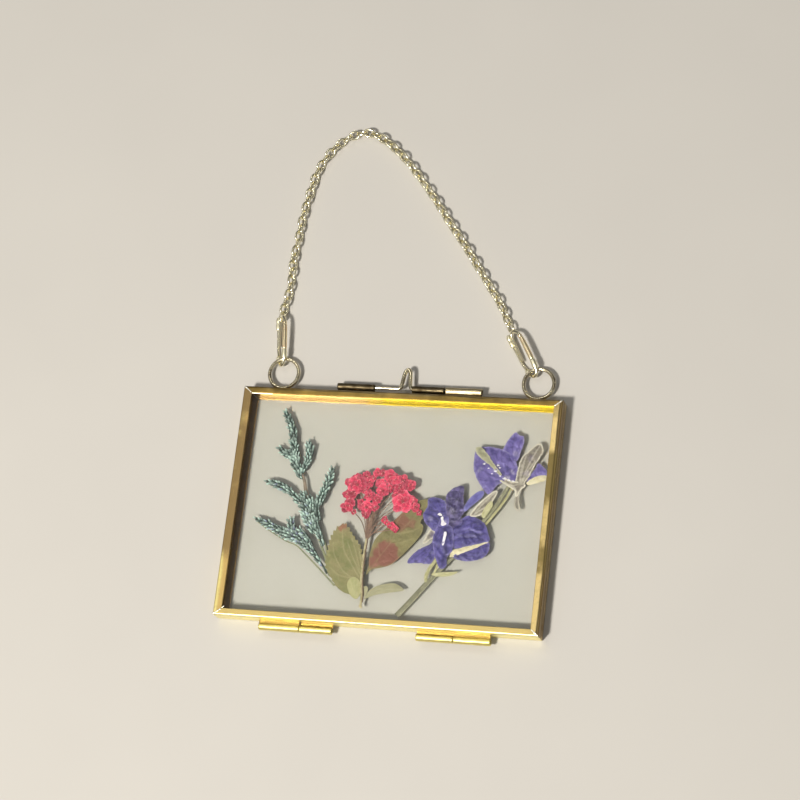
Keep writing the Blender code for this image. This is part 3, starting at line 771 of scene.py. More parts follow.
@dataclass(frozen=True)
class MetalFinish:
    """Drawn metal that has tarnished in patches, with light painted on it.

    Each of its `light_zones` names an axis, two places along it in millimetres and by how much the tarnished
    share changes from the first to the second. On most finishes these zones paint the reflections and shade
    that change along a rail or tube.
    """

    name: str
    bright: Colour
    tarnished: Colour
    tarnish: float = 0.4
    patch_scale: float = 0.12
    roughness: float = 0.34
    spread: float = 0.2
    coat: float = 0.35
    lines: tuple[float, float, float] = ALONG_X
    line_scale: float = 7.0
    line_depth: float = 0.006
    wave_scale: float = 0.5
    wave_depth: float = 0.03
    light_zones: tuple[tuple[int, float, float, float], ...] = ()
    edge_light: EdgeLight | None = None
    edge_light_mix: float = 0.9
    grimed: float = 0.3
    scratched: float = 0.25
    grime_roughness: float = 0.08
    coat_roughness: float = 0.12

    def tarnish_and_light_share(self, canvas: Canvas, here: Socket) -> Feed:
        """The tarnished share, with the painted reflection and shade of the light zones added.

        Args:
            canvas: The material's canvas.
            here: Coordinates in millimetres.

        Returns:
            A number, or a link where it changes over the surface.
        """
        share: Feed = self.tarnish
        if self.light_zones:
            axes = canvas.add("ShaderNodeSeparateXYZ", {0: here}).outputs
            for axis, low, high, change in self.light_zones:
                share = canvas.maths("MULTIPLY_ADD", canvas.between(axes[axis], low, high), change, share)
        return share

    def edge_light_share(self, canvas: Canvas, here: Socket) -> Socket:
        """How far each point is on the edge whose light is painted, from 0 to 1.

        Args:
            canvas: The material's canvas.
            here: Coordinates in millimetres.

        Returns:
            The share.
        """
        axes = canvas.add("ShaderNodeSeparateXYZ", {0: here}).outputs
        away = canvas.maths("ABSOLUTE", axes[self.edge_light.axis])
        wave = canvas.cloud(canvas.stretched(here, self.lines), self.edge_light.wander_scale, 1.0)
        wandering = canvas.maths("MULTIPLY_ADD", canvas.maths("SUBTRACT", wave, 0.5), self.edge_light.wander, away)
        return canvas.between(wandering, self.edge_light.start, self.edge_light.full)

    def build(self, effects: Effects) -> bpy.types.Material:
        """Makes the material.

        Args:
            effects: The shared node groups.

        Returns:
            The material.
        """
        material, canvas, metal = shader(self.name)
        here = canvas.millimetres()
        given = {"Coordinates": here, "Scale": self.patch_scale, "Share": self.tarnish_and_light_share(canvas, here)}
        # The tarnish group's Tarnish output carries the tarnish patches and also the painted reflection and
        # shade of the light zones.
        worn = canvas.group(effects.tarnish, given)
        given = {"Coordinates": canvas.stretched(here, self.lines), "Scale": self.line_scale}
        drawn = canvas.group(effects.brushed, given)
        bright_with_edge_light: Feed = self.bright
        # The edge light is painted: a highlight on some finishes, shade on others.
        if self.edge_light:
            edge_light = self.edge_light_share(canvas, here)
            bright_with_edge_light = canvas.tinted(self.bright, edge_light, self.edge_light_mix, self.edge_light.colour)
        colour = canvas.mixed(worn["Tarnish"], bright_with_edge_light, self.tarnished)
        colour = canvas.tinted(colour, worn["Grime"], self.grimed, self.tarnished)
        colour = canvas.tinted(colour, drawn["Scratches"], self.scratched, self.bright)
        wave = canvas.cloud(here, self.wave_scale, 1.0)
        height = canvas.maths("MULTIPLY", wave, self.wave_depth)
        height = canvas.maths("MULTIPLY_ADD", drawn["Height"], self.line_depth, height)
        if self.edge_light:
            height = canvas.maths("MULTIPLY_ADD", canvas.maths("POWER", edge_light, 2.0), -self.edge_light.fall, height)
        rough = canvas.maths("MULTIPLY_ADD", worn["Tarnish"], self.spread, self.roughness)
        rough = canvas.maths("MULTIPLY_ADD", worn["Grime"], self.grime_roughness, rough)
        coated = {"Coat Weight": self.coat, "Coat Roughness": self.coat_roughness}
        canvas.fill(metal, {"Base Color": colour, "Roughness": rough, "Metallic": 1.0, **coated})
        canvas.feed(metal.inputs["Normal"], canvas.bump(height, 1.0, 1.0))
        return material


@dataclass(frozen=True)
class GlassFinish:
    """Clear float glass with a slow waviness."""

    name: str
    tint: Colour
    smear: Colour
    smear_scale: float = 0.05
    smeared: float = 0.35
    index: float = 1.5
    wave_scale: float = 0.09
    wave_strength: float = 0.25
    wave_depth: float = 0.02
    shade: Colour = (0.975, 0.98, 0.97)

    def build(self, effects: Effects) -> bpy.types.Material:
        """Makes the material.

        Args:
            effects: The shared node groups.

        Returns:
            The material.
        """
        material, canvas, glass = shader(self.name)
        here = canvas.millimetres()
        given = {"Coordinates": here, "Scale": self.smear_scale, "Share": self.smeared}
        film = canvas.group(effects.tarnish, given)["Tarnish"]
        canvas.feed(glass.inputs["Base Color"], canvas.mixed(film, self.tint, self.smear))
        canvas.fill(glass, {"Roughness": 0.0, "IOR": self.index, "Transmission Weight": 1.0})
        wave = canvas.cloud(here, self.wave_scale, 1.0, 0.4)
        canvas.feed(glass.inputs["Normal"], canvas.bump(wave, self.wave_strength, self.wave_depth))
        clear = canvas.add("ShaderNodeBsdfTransparent", {"Color": self.shade}).outputs[0]
        rays = canvas.add("ShaderNodeLightPath").outputs
        lit = canvas.maths("MAXIMUM", rays["Is Shadow Ray"], rays["Is Diffuse Ray"])
        both = canvas.add("ShaderNodeMixShader", {0: lit, 1: glass.outputs[0], 2: clear})
        canvas.feed(canvas.tree.nodes["Material Output"].inputs["Surface"], both.outputs[0])
        return material


@dataclass(frozen=True)
class TissueFinish:
    """A dried leaf, petal, stem or seed: its colours, blotches, creases with their painted shade, veins and
    edge.
    """

    name: str
    base: Colour
    deep: Colour
    vein: Colour
    rim: Colour
    patch: Colour = (0.2, 0.08, 0.05)
    veined: float = 0.6
    rimmed: float = 0.5
    blotch: float = 0.35
    fibre: float = 5.0
    fibred: float = 0.35
    crease: float = 0.5
    crease_shade: float = 0.0
    roughness: float = 0.55
    relief: float = 0.02
    tone_spread: float = 0.5
    sheen: float = 0.0
    sheen_roughness: float = 0.4
    opacity: float = 1.0
    specular: float = 0.35
    fibre_roughness: float = 0.15
    bump: float = 0.7

    def build(self, effects: Effects) -> bpy.types.Material:
        """Makes the material.

        Args:
            effects: The shared node groups.

        Returns:
            The material.
        """
        material, canvas, tissue = shader(self.name)
        scales = {"Blotch": self.blotch, "Fibre": self.fibre, "Crease": self.crease}
        given = {"Coordinates": canvas.millimetres(), **scales}
        grown = canvas.group(effects.tissue, given)
        vein, rim, patch = (canvas.trait(trait) for trait in (Trait.VEIN, Trait.RIM, Trait.PATCH))
        colour = canvas.mixed(grown["Blotches"], self.base, self.deep)
        colour = canvas.tinted(colour, grown["Fibres"], self.fibred, self.deep)
        colour = canvas.mixed(patch, colour, self.patch)
        # Painted shade: the creases darken towards the vein colour.
        colour = canvas.tinted(colour, grown["CreaseShade"], self.crease_shade, self.vein)
        colour = canvas.tinted(colour, rim, self.rimmed, self.rim)
        colour = canvas.tinted(colour, vein, self.veined, self.vein)
        low, high = 1 - self.tone_spread / 2, 1 + self.tone_spread / 2
        tone = canvas.between(canvas.trait(Trait.TONE), 0.0, 1.0, low, high)
        canvas.feed(tissue.inputs["Base Color"], canvas.shaded(colour, tone))
        rough = canvas.maths("MULTIPLY_ADD", grown["Fibres"], self.fibre_roughness, self.roughness)
        canvas.fill(tissue, {"Roughness": rough, "Specular IOR Level": self.specular})
        if self.sheen:
            canvas.fill(tissue, {"Sheen Weight": self.sheen, "Sheen Roughness": self.sheen_roughness})
        canvas.feed(tissue.inputs["Normal"], canvas.bump(grown["Height"], self.bump, self.relief))
        if self.opacity < 1:
            solid = canvas.maths("ADD", canvas.maths("MAXIMUM", rim, vein), self.opacity, clamp=True)
            canvas.feed(tissue.inputs["Alpha"], solid)
        return material


class Leaf(Enum):
    """The dried leaves."""

    SERRATED = TissueFinish(
        "khaki_leaf", (0.29, 0.255, 0.12), (0.19, 0.2, 0.07), (0.45, 0.42, 0.235), (0.34, 0.3, 0.155),
        patch=(0.3, 0.12, 0.07), veined=0.5, rimmed=0.25, blotch=0.22,
    )
    OVAL = TissueFinish(
        "pale_oval_leaf", (0.47, 0.45, 0.23), (0.39, 0.39, 0.18), (0.56, 0.53, 0.32), (0.5, 0.47, 0.26),
        veined=0.35, rimmed=0.3, blotch=0.5,
    )
    NARROW = TissueFinish(
        "grey_green_leaf", (0.4, 0.38, 0.24), (0.31, 0.3, 0.17), (0.52, 0.5, 0.34), (0.44, 0.42, 0.27),
        veined=0.4, rimmed=0.3,
    )
    LARGE = TissueFinish(
        "olive_leaf", (0.26, 0.235, 0.1), (0.18, 0.16, 0.065), (0.4, 0.37, 0.19), (0.32, 0.28, 0.14),
        patch=(0.22, 0.08, 0.055), veined=0.25, rimmed=0.3,
    )


class Bloom(Enum):
    """The petals, seeds and stems."""

    CORAL = TissueFinish(
        "coral_petal", (0.79, 0.042, 0.13), (0.44, 0.01, 0.048), (0.3, 0.005, 0.03), (0.94, 0.28, 0.375),
        rimmed=0.62, blotch=1.1, fibre=7.0, crease=0.9, crease_shade=0.5, relief=0.05, sheen=0.15,
        tone_spread=0.85,
    )
    CORAL_HEART = TissueFinish(
        "coral_heart", (0.36, 0.05, 0.07), (0.2, 0.02, 0.03), (0.5, 0.2, 0.16), (0.6, 0.22, 0.2),
        rimmed=0.4, blotch=2.0, fibre=9.0, relief=0.03,
    )
    STAMEN = TissueFinish(
        "pale_stamen", (0.95, 0.5, 0.5), (0.8, 0.3, 0.3), (0.9, 0.7, 0.6), (0.98, 0.7, 0.66), blotch=2.0,
        fibre=9.0, relief=0.01,
    )
    # Also the painted shadow beside the main stalk.
    ROSE_STALK = TissueFinish(
        "reddish_stalk", (0.28, 0.18, 0.13), (0.17, 0.1, 0.07), (0.42, 0.34, 0.26), (0.36, 0.27, 0.2),
        rimmed=0.2, blotch=1.0, fibre=8.0,
    )
    CREAM_STALK = TissueFinish(
        "cream_stalk", (0.5, 0.44, 0.27), (0.3, 0.26, 0.14), (0.6, 0.55, 0.4), (0.6, 0.55, 0.38),
        rimmed=0.2, blotch=1.0, fibre=8.0,
    )
    VIOLET = TissueFinish(
        "violet_petal", (0.115, 0.095, 0.37), (0.05, 0.04, 0.19), (0.016, 0.012, 0.075), (0.27, 0.24, 0.52),
        patch=(0.36, 0.33, 0.54), veined=0.5, blotch=0.26, fibred=0.25, crease=0.3, crease_shade=0.5,
        roughness=0.4, relief=0.05, sheen=0.1,
    )
    LAVENDER = TissueFinish(
        "lavender_petal", (0.19, 0.15, 0.44), (0.09, 0.07, 0.27), (0.04, 0.03, 0.15), (0.4, 0.36, 0.62),
        patch=(0.56, 0.52, 0.68), veined=0.5, blotch=0.3, fibred=0.25, crease=0.32, crease_shade=0.45,
        roughness=0.42, relief=0.05, sheen=0.1,
    )
    GREY_VIOLET = TissueFinish(
        "grey_violet_petal", (0.115, 0.09, 0.27), (0.055, 0.042, 0.14), (0.02, 0.015, 0.06),
        (0.26, 0.23, 0.42), patch=(0.36, 0.33, 0.5), veined=0.5, rimmed=0.45, blotch=0.6, fibre=6.0,
        crease=0.55, crease_shade=0.7, roughness=0.45, relief=0.05,
    )
    PERIWINKLE = TissueFinish(
        "periwinkle_petal", (0.18, 0.17, 0.5), (0.1, 0.095, 0.34), (0.07, 0.06, 0.25), (0.36, 0.34, 0.62),
        veined=0.3, rimmed=0.4, blotch=0.7, crease_shade=0.3, relief=0.03,
    )
    CREAM_PETAL = TissueFinish(
        "cream_petal", (0.8, 0.73, 0.52), (0.64, 0.57, 0.32), (0.88, 0.84, 0.66), (0.88, 0.82, 0.62),
        veined=0.4, rimmed=0.4, blotch=0.5, fibred=0.15,
    )
    # Pale flecks of the upper flower, and painted highlights on the lower one.
    WHITE_FLECK_AND_GLINT = TissueFinish(
        "white_fleck_and_glint", (0.84, 0.82, 0.84), (0.62, 0.58, 0.72), (0.9, 0.9, 0.9), (0.92, 0.92, 0.94),
        rimmed=0.4, blotch=1.5, fibred=0.3,
    )
    LACY_PETAL = TissueFinish(
        "translucent_petal", (0.36, 0.32, 0.26), (0.23, 0.2, 0.17), (0.56, 0.53, 0.45), (0.84, 0.8, 0.68),
        patch=(0.17, 0.13, 0.3), rimmed=0.9, blotch=0.8, crease=0.9, crease_shade=0.3, relief=0.04, opacity=0.66,
    )
    # Its light rim colour is a painted highlight on each seed's top.
    SPRIG_SEED = TissueFinish(
        "teal_seed_painted_highlight", (0.05, 0.125, 0.105), (0.02, 0.052, 0.044), (0.5, 0.6, 0.55),
        (0.52, 0.67, 0.61), patch=(0.13, 0.14, 0.3), rimmed=0.9, blotch=0.7, fibre=6.0, relief=0.04,
        tone_spread=1.0,
    )
    # Also the flat dark sheet under each spike's seeds, which is painted shade.
    SPRIG_TWIG = TissueFinish(
        "dark_teal_twig_and_shade", (0.045, 0.075, 0.06), (0.022, 0.04, 0.033), (0.2, 0.25, 0.2), (0.08, 0.12, 0.11),
        rimmed=0.3, blotch=1.0, fibre=7.0, relief=0.03,
    )
    SPRIG_STEM = TissueFinish(
        "yellow_green_stem", (0.33, 0.34, 0.2), (0.19, 0.21, 0.13), (0.5, 0.48, 0.3), (0.42, 0.42, 0.26),
        rimmed=0.3, blotch=1.0, fibre=7.0,
    )
    BEIGE_STEM = TissueFinish(
        "beige_stem", (0.34, 0.27, 0.2), (0.2, 0.155, 0.12), (0.55, 0.5, 0.4), (0.5, 0.42, 0.32),
        rimmed=0.3, blotch=1.0, fibre=7.0,
    )
    PALE_STEM = TissueFinish(
        "pale_green_stem", (0.34, 0.33, 0.22), (0.22, 0.22, 0.14), (0.62, 0.6, 0.42), (0.62, 0.6, 0.42),
        veined=0.5, rimmed=0.45, blotch=0.7, fibre=6.0, relief=0.03,
    )
    BRACT = TissueFinish(
        "pale_bract", (0.6, 0.58, 0.33), (0.44, 0.42, 0.2), (0.7, 0.68, 0.45), (0.7, 0.68, 0.42),
        rimmed=0.3, blotch=0.9,
    )


class Metal(Enum):
    """The metals. The rails and tubes take copies of one brass whose colours paint the reflections,
    highlights and shade that each shows.
    """

    # Front bottom rail: its pale yellow edge light is a painted highlight on the rounded outer edge and the
    # lit outer wall.
    GOLDEN = MetalFinish(
        "golden_brass", (0.75, 0.58, 0.22), (0.56, 0.38, 0.13), 0.28, roughness=0.4, coat=0.1,
        edge_light=EdgeLight(1, 35.4, 35.85, (1.0, 0.94, 0.5), 0.03, 0.5),
    )
    # Front left rail: darker from its lower third upwards, a painted reflection, and a pale yellow edge
    # light, a painted highlight.
    GOLDEN_UPRIGHT = MetalFinish(
        "golden_brass_upright", (0.72, 0.505, 0.185), (0.32, 0.224, 0.097), 0.28, roughness=0.4,
        lines=ALONG_Y, light_zones=((1, -26.0, -14.5, 0.42),), edge_light=EdgeLight(0, 43.5, 44.4, (1.0, 0.86, 0.34),
        0.02),
    )
    # Front top rail: its dark olive paints a darker reflection than the other rails show, and its paler edge
    # light a painted highlight along the outer edge.
    OLIVE = MetalFinish(
        "olive_brass", (0.38, 0.25, 0.06), (0.2, 0.135, 0.035), 0.5, coat=0.3, edge_light=EdgeLight(1, 27.8, 28.6,
        (0.38, 0.3, 0.17), 0.11),
    )
    # Front right rail: its light zones paint reflections, darker upwards with a bright band near the upper
    # end, and its dark edge light is painted shade on the outer wall.
    BROWN_UPRIGHT = MetalFinish(
        "brown_brass_upright", (0.86, 0.66, 0.29), (0.27, 0.205, 0.077), 0.3, roughness=0.38, lines=ALONG_Y,
        light_zones=((1, -21.5, -17.5, 0.26), (1, -1.5, 4.5, 0.24), (1, 12.5, 16.5, -0.56), (1, 21.5, 24.5, 0.3)),
        edge_light=EdgeLight(0, 43.9, 44.6, (0.26, 0.17, 0.07), 0.2, 0.6),
    )
    # Back top rail: lighter towards +X, with a paler edge light along its outer edge as a painted highlight.
    BACK_RAIL = MetalFinish(
        "back_top_brass", (0.44, 0.315, 0.012), (0.43, 0.27, 0.1), 0.78, roughness=0.42, spread=0.12,
        coat=0.0, light_zones=((0, -30.0, 12.0, -0.54),), edge_light=EdgeLight(1, 27.9, 28.5, (0.66, 0.52, 0.24), 0.0,
        0.3),
    )
    # Back bottom rail: its pale lemon is a painted highlight, the lit outer wall seen below the front rail.
    LEMON = MetalFinish(
        "lit_lemon_brass", (0.98, 0.88, 0.45), (0.9, 0.72, 0.3), 0.3, roughness=0.45, spread=0.12,
    )
    # Back side rails: their dark brown is painted shade on the inner lip seen through the glass, and their
    # pale edge light a painted reflection along the outer wall.
    BACK_RAIL_UPRIGHT = MetalFinish(
        "shaded_back_brass_upright", (0.5, 0.3, 0.11), (0.26, 0.145, 0.055), 0.4, lines=ALONG_Y, edge_light=EdgeLight(0,
        44.1, 44.7, (0.92, 0.74, 0.4), 0.0, 0.3),
    )
    # Hinge tubes: the dark edge light is painted shade on their side towards the frame.
    HINGE_TUBE = MetalFinish(
        "hinge_tube_brass", (0.86, 0.74, 0.28), (0.66, 0.44, 0.12), 0.25, patch_scale=0.35, roughness=0.46,
        spread=0.12, coat=0.0, wave_scale=0.9, wave_depth=0.06, edge_light=EdgeLight(1, 37.6, 36.9,
        (0.4, 0.26, 0.08), 0.0, 0.7),
    )
    # Keeper tube: its light zone darkens its side towards the frame, painted shade.
    KEEPER_TUBE = MetalFinish(
        "keeper_tube_brass", (0.5, 0.42, 0.26), (0.13, 0.09, 0.04), 0.2, patch_scale=0.35, spread=0.1,
        coat=0.0, wave_scale=0.9, light_zones=((1, 30.2, 29.6, 0.7),),
    )
    # Dark all over, painted shade: the two latch tubes on the back half beside the top rail and the rings'
    # feet; the hinge pins take it too.
    SHADED_TUBE = MetalFinish(
        "shaded_tube_brass", (0.15, 0.12, 0.07), (0.07, 0.05, 0.025), 0.5, patch_scale=0.35, roughness=0.36,
        coat=0.0, wave_scale=0.8, wave_depth=0.09,
    )
    WIRE = MetalFinish(
        "ring_brass", (0.8, 0.72, 0.5), (0.13, 0.09, 0.04), 0.45, patch_scale=0.3, roughness=0.2,
        spread=0.1, coat=1.0, lines=EVENLY, line_depth=0.003, wave_scale=0.8, wave_depth=0.015,
    )
    # Near white: a painted highlight along the mitres, and on the front half's run and blob.
    SOLDER_AND_HIGHLIGHT = MetalFinish(
        "solder", (0.99, 0.96, 0.84), (0.8, 0.72, 0.5), 0.2, patch_scale=1.2, lines=EVENLY, line_depth=0.01,
        wave_scale=2.0, wave_depth=0.02,
    )
    # Near white: a painted highlight on the clasps' knobs.
    LIT_KNOB_GILT = MetalFinish(
        "lit_clasp_knob_gilt", (1.0, 0.95, 0.7), (0.8, 0.7, 0.4), 0.25, patch_scale=0.7, roughness=0.42,
        spread=0.1, lines=EVENLY, line_depth=0.003, wave_scale=1.5,
    )
    GILT = MetalFinish(
        "chain_gilt", (0.98, 0.92, 0.68), (0.36, 0.3, 0.13), 0.3, patch_scale=0.7, roughness=0.22, coat=0.6,
        lines=EVENLY, line_depth=0.003, wave_depth=0.0,
    )
    ROSE_GILT = MetalFinish(
        "clasp_tube_gilt", (1.0, 0.86, 0.56), (0.86, 0.58, 0.36), 0.4, patch_scale=0.5, roughness=0.36,
        spread=0.12, lines=EVENLY, line_depth=0.003, wave_scale=1.0, wave_depth=0.02,
    )


class Glass(Enum):
    """The glass."""

    PANE = GlassFinish("pane_glass", (0.985, 0.99, 0.98), (0.96, 0.965, 0.94))


Finish = Leaf | Bloom | Metal | Glass


class Finishes:
    """Every material, built once from the shared effects and handed out by its name."""

    def __init__(self) -> None:
        """Builds the shared effects."""
        self.effects = Effects(tarnish_effect(), brushed_effect(), tissue_effect())
        self.made: dict[str, bpy.types.Material] = {}

    def get(self, choice: Finish) -> bpy.types.Material:
        """The material of a named finish, built when it is first asked for.

        Args:
            choice: The finish.

        Returns:
            Its material.
        """
        finish = choice.value
        if finish.name not in self.made:
            self.made[finish.name] = finish.build(self.effects)
        return self.made[finish.name]

    def dress(self, node: str, choice: Finish) -> None:
        """Gives a CAD node the material of a named finish.

        Args:
            node: The node.
            choice: The finish.
        """
        material = self.get(choice)
        for slot in bpy.data.objects[node].material_slots:
            slot.material = material
        LOG.info("dressed %s in %s", node, material.name)

    def make(
        self,
        draft: Draft,
        name: str,
        kinds: Sequence[Finish],
        body: Body,
        slot: str,
        *nodes: str,
        sharp: float = 50.0,
    ) -> bpy.types.Object:
        """Builds a draft's piece in its finishes and puts it on its body.

        Args:
            draft: The piece's vertices and faces.
            name: Its name.
            kinds: The finishes of its material slots in order.
            body: The body that it rides on.
            slot: The record's material slot, which is not used.
            *nodes: The CAD nodes that it stands for.
            sharp: The angle in degrees above which an edge stays sharp.

        Returns:
            The piece.
        """
        piece = draft.piece(name, [self.get(kind) for kind in kinds], sharp)
        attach(piece, body.value)
        if nodes:
            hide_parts(*nodes)
        LOG.info("built %s with %d faces", piece.name, len(piece.data.polygons))
        return piece


# The brass frame.


@dataclass
class BrassFrame:
    """The two halves' rails and the solder at their corners, whose near-white colour is a painted highlight.
    """

    finishes: Finishes
    face_side: float = 2.4
    face_end: float = 1.9
    bead: float = 0.34
    bead_steps: int = 14
    bead_start: float = 0.08
    bead_reach: float = 0.84
    bead_thinnest: float = 0.45
    bead_swell: float = 0.35
    run: Sequence[tuple[float, float, float]] = (
        (-42.6, 30.38, 5.72), (-41.0, 30.36, 5.72), (-38.4, 30.36, 5.7), (-36.6, 30.37, 5.68),
    )
    run_radii: Sequence[float] = (*[0.16] * 11, *[0.12] * 5)
    blob_at: tuple[float, float, float] = (-42.3, -30.1, 5.7)
    blob_half: tuple[float, float, float] = (0.55, 0.16, 0.1)
    blob_turn: float = 40.0
    seed: int = 11

    def dress_rails(self) -> None:
        """Gives each rail its copy of the brass, whose colours paint the reflections, highlights and shade
        that the rail shows.
        """
        for side, metal, back in (
            ("left", Metal.GOLDEN_UPRIGHT, Metal.BACK_RAIL_UPRIGHT),
            ("right", Metal.BROWN_UPRIGHT, Metal.BACK_RAIL_UPRIGHT),
            ("top", Metal.OLIVE, Metal.BACK_RAIL),
            ("bottom", Metal.GOLDEN, Metal.LEMON),
        ):
            self.finishes.dress(f"front_rail_{side}", metal)
            self.finishes.dress(f"back_rail_{side}", back)

    def solder_line(self, draft: Draft, sx: int, sy: int, front: bool, drawn: random.Random) -> None:
        """Adds the uneven line of solder along one mitre.

        Args:
            draft: The piece that it is part of.
            sx: The corner's side, -1 for left.
            sy: The corner's end, -1 for bottom.
            front: Whether it is on the front half's face.
            drawn: Source of its unevenness.
        """
        x, y = FRAME_WIDTH / 2, FRAME_HEIGHT / 2
        z = FRAME_THICKNESS if front else 0.0
        points, radii = [], []
        for i in range(self.bead_steps + 1):
            share = self.bead_start + self.bead_reach * i / self.bead_steps
            across, along = x - self.face_side * share, y - self.face_end * share
            points.append((sx * across, sy * along, z - 0.03 if front else z + 0.05))
            taper = 0.5 if i in (0, self.bead_steps) else 1.0
            radii.append(self.bead * (self.bead_thinnest + self.bead_swell * drawn.random()) * taper)
        draft.add(*swept(points, radii, 8, 0.4))

    def build_solder(self) -> None:
        """Builds the solder of both halves' corners, and on the front half a run and a blob that are painted
        highlights.
        """
        drawn = random.Random(self.seed)
        for front, name, body in ((True, "solder_and_highlight_front", Body.FRONT), (False, "solder_and_highlight_back", Body.BACK)):
            draft = Draft()
            for sx in (-1, 1):
                for sy in (-1, 1):
                    self.solder_line(draft, sx, sy, front, drawn)
            if front:
                # Painted highlights: a solder run along the top rail's inner edge and a blob at the lower
                # left inner corner.
                draft.add(*swept(smooth(self.run, 5), self.run_radii, 8, 0.6))
                turn = Matrix.Rotation(math.radians(self.blob_turn), 3, "Z")
                draft.add(*pebble(self.blob_at, turn @ Matrix.Diagonal(self.blob_half), 9, 6))
            self.finishes.make(draft, name, [Metal.SOLDER_AND_HIGHLIGHT], body, "brass")

    def build(self) -> None:
        """Dresses the rails and solders their corners."""
        self.dress_rails()
        self.build_solder()


@dataclass
class Barrels:
    """The rolled tubes of the hinges and the latch, the hinge pins, the sliding wire and the rings."""

    finishes: Finishes
    pivot_height: float = 2.9
    wall: float = 0.34
    tab_top: float = 0.62
    overlap: float = 0.05
    dent: float = 0.035
    station: float = 0.5
    dent_size: float = 0.9
    rim_starts: Sequence[float] = (0.0, 0.008, 0.022)
    rim_ends: Sequence[float] = (0.978, 0.992, 1.0)
    rim_insets: Sequence[float] = (0.12, 0.04)
    turns: int = 24
    slit: float = 6.0
    last_turn: float = 348.0
    bend: float = 0.12
    wire_sides: int = 14
    ring_steps: int = 72
    ring_wire: float = 0.52
    ring_height: float = 1.95
    ring_unevenness: float = 0.03
    foot_radii: Sequence[float] = (1.3, 1.12, 0.98, 0.88, 0.8)

    def section(self, radius: float, reach: float) -> tuple[list[Point], list[Point]]:
        """The outer and inner lines of a rolled strip: its tab, then almost all the way round its pin.

        Args:
            radius: The tube's outer radius.
            reach: How far its tab reaches from the tube's middle.

        Returns:
            Two lines of as many points, away from the tube's middle and up.
        """
        bore = radius - self.wall
        outer, inner = [], []
        for line, size, level in ((outer, radius, self.tab_top), (inner, bore, self.tab_top - self.wall)):
            start = math.degrees(math.asin(level / size))
            foot = size * math.cos(math.radians(start)) + self.bend
            line += [(reach, level), (max(reach * 0.5, foot + 0.1), level), (foot, level)]
            for k in range(self.turns + 1):
                turn = math.radians(start + self.slit + (self.last_turn - start) * k / self.turns)
                line.append((size * math.cos(turn), size * math.sin(turn)))
        return outer, inner

    def barrel(self, node: str, ends: Point, y: float, radius: float, front: bool, metal: Metal) -> None:
        """Builds one tube in place of a CAD node.

        Args:
            node: The node.
            ends: Where it starts and ends along the frame's width.
            y: Its middle along the frame.
            radius: Its outer radius.
            front: Whether it is soldered to the front half.
            metal: Its finish.
        """
        toward = -1 if y > 0 else 1
        lift = 1 if front else -1
        outer, inner = self.section(radius, abs(y) - FRAME_HEIGHT / 2 - self.overlap)
        count = max(4, round((ends[1] - ends[0]) / self.station))
        shares = [*self.rim_starts, *[k / count for k in range(1, count)], *self.rim_ends]
        insets = [*self.rim_insets, *[0.0] * (len(shares) - 4), *self.rim_insets[::-1]]
        draft = Draft()
        vertices, faces = [], []
        for i, share in enumerate(shares):
            x = ends[0] + (ends[1] - ends[0]) * share
            for line, shrink in ((outer, -insets[i]), (inner, 0.0)):
                for v, w in line:
                    far = math.hypot(v, w)
                    spot = Vector((x * 0.8, v * self.dent_size, w * self.dent_size + y))
                    dent = self.dent * noise.noise(spot)
                    scale = 1 + (shrink + (dent if line is outer else 0.0)) / far
                    vertices.append((x, y + toward * v * scale, self.pivot_height + lift * w * scale))
        wide = len(outer)
        row = 2 * wide
        for i in range(len(shares) - 1):
            low, high = i * row, (i + 1) * row
            for k in range(wide - 1):
                faces.append((low + k, low + k + 1, high + k + 1, high + k))
                faces.append((low + wide + k + 1, low + wide + k, high + wide + k, high + wide + k + 1))
            faces.append((low + wide, low, high, high + wide))
            faces.append((low + wide - 1, low + row - 1, high + row - 1, high + wide - 1))
        last = (len(shares) - 1) * row
        for k in range(wide - 1):
            faces.append((k + 1, k, wide + k, wide + k + 1))
            faces.append((last + k, last + k + 1, last + wide + k + 1, last + wide + k))
        if toward * lift < 0:
            faces = [face[::-1] for face in faces]
        draft.add(vertices, faces)
        body = Body.FRONT if front else Body.BACK
        self.finishes.make(draft, f"rolled_{node}", [metal], body, "brass", node, sharp=40.0)

    def build_latch_wire(self) -> None:
        """Builds the sliding wire with its finger grip."""
        route = (
            (-12.0, 34.2, 0.4), (-7.0, 34.2, 0.42), (-3.0, 34.2, 0.42), (-1.95, 34.21, 0.42),
            (-1.35, 34.4, 0.5), (-0.95, 35.05, 0.55),
            (-0.66, 36.8, 0.57), (-0.4, 38.5, 0.57), (0.0, 39.45, 0.56), (0.5, 39.8, 0.55),
            (1.0, 39.35, 0.56), (1.25, 38.3, 0.57), (1.4, 36.6, 0.57), (1.55, 35.2, 0.54),
            (1.9, 34.45, 0.47), (2.6, 34.2, 0.42), (7.0, 34.2, 0.42), (11.05, 34.2, 0.4),
        )
        points = smooth(route, 6)
        draft = Draft()
        line = [(x, y, self.pivot_height) for x, y, _ in points]
        draft.add(*swept(line, [radius for _, _, radius in points], self.wire_sides))
        self.finishes.make(draft, "latch_wire", [Metal.WIRE], Body.LATCH, "brass", "latch_pin")

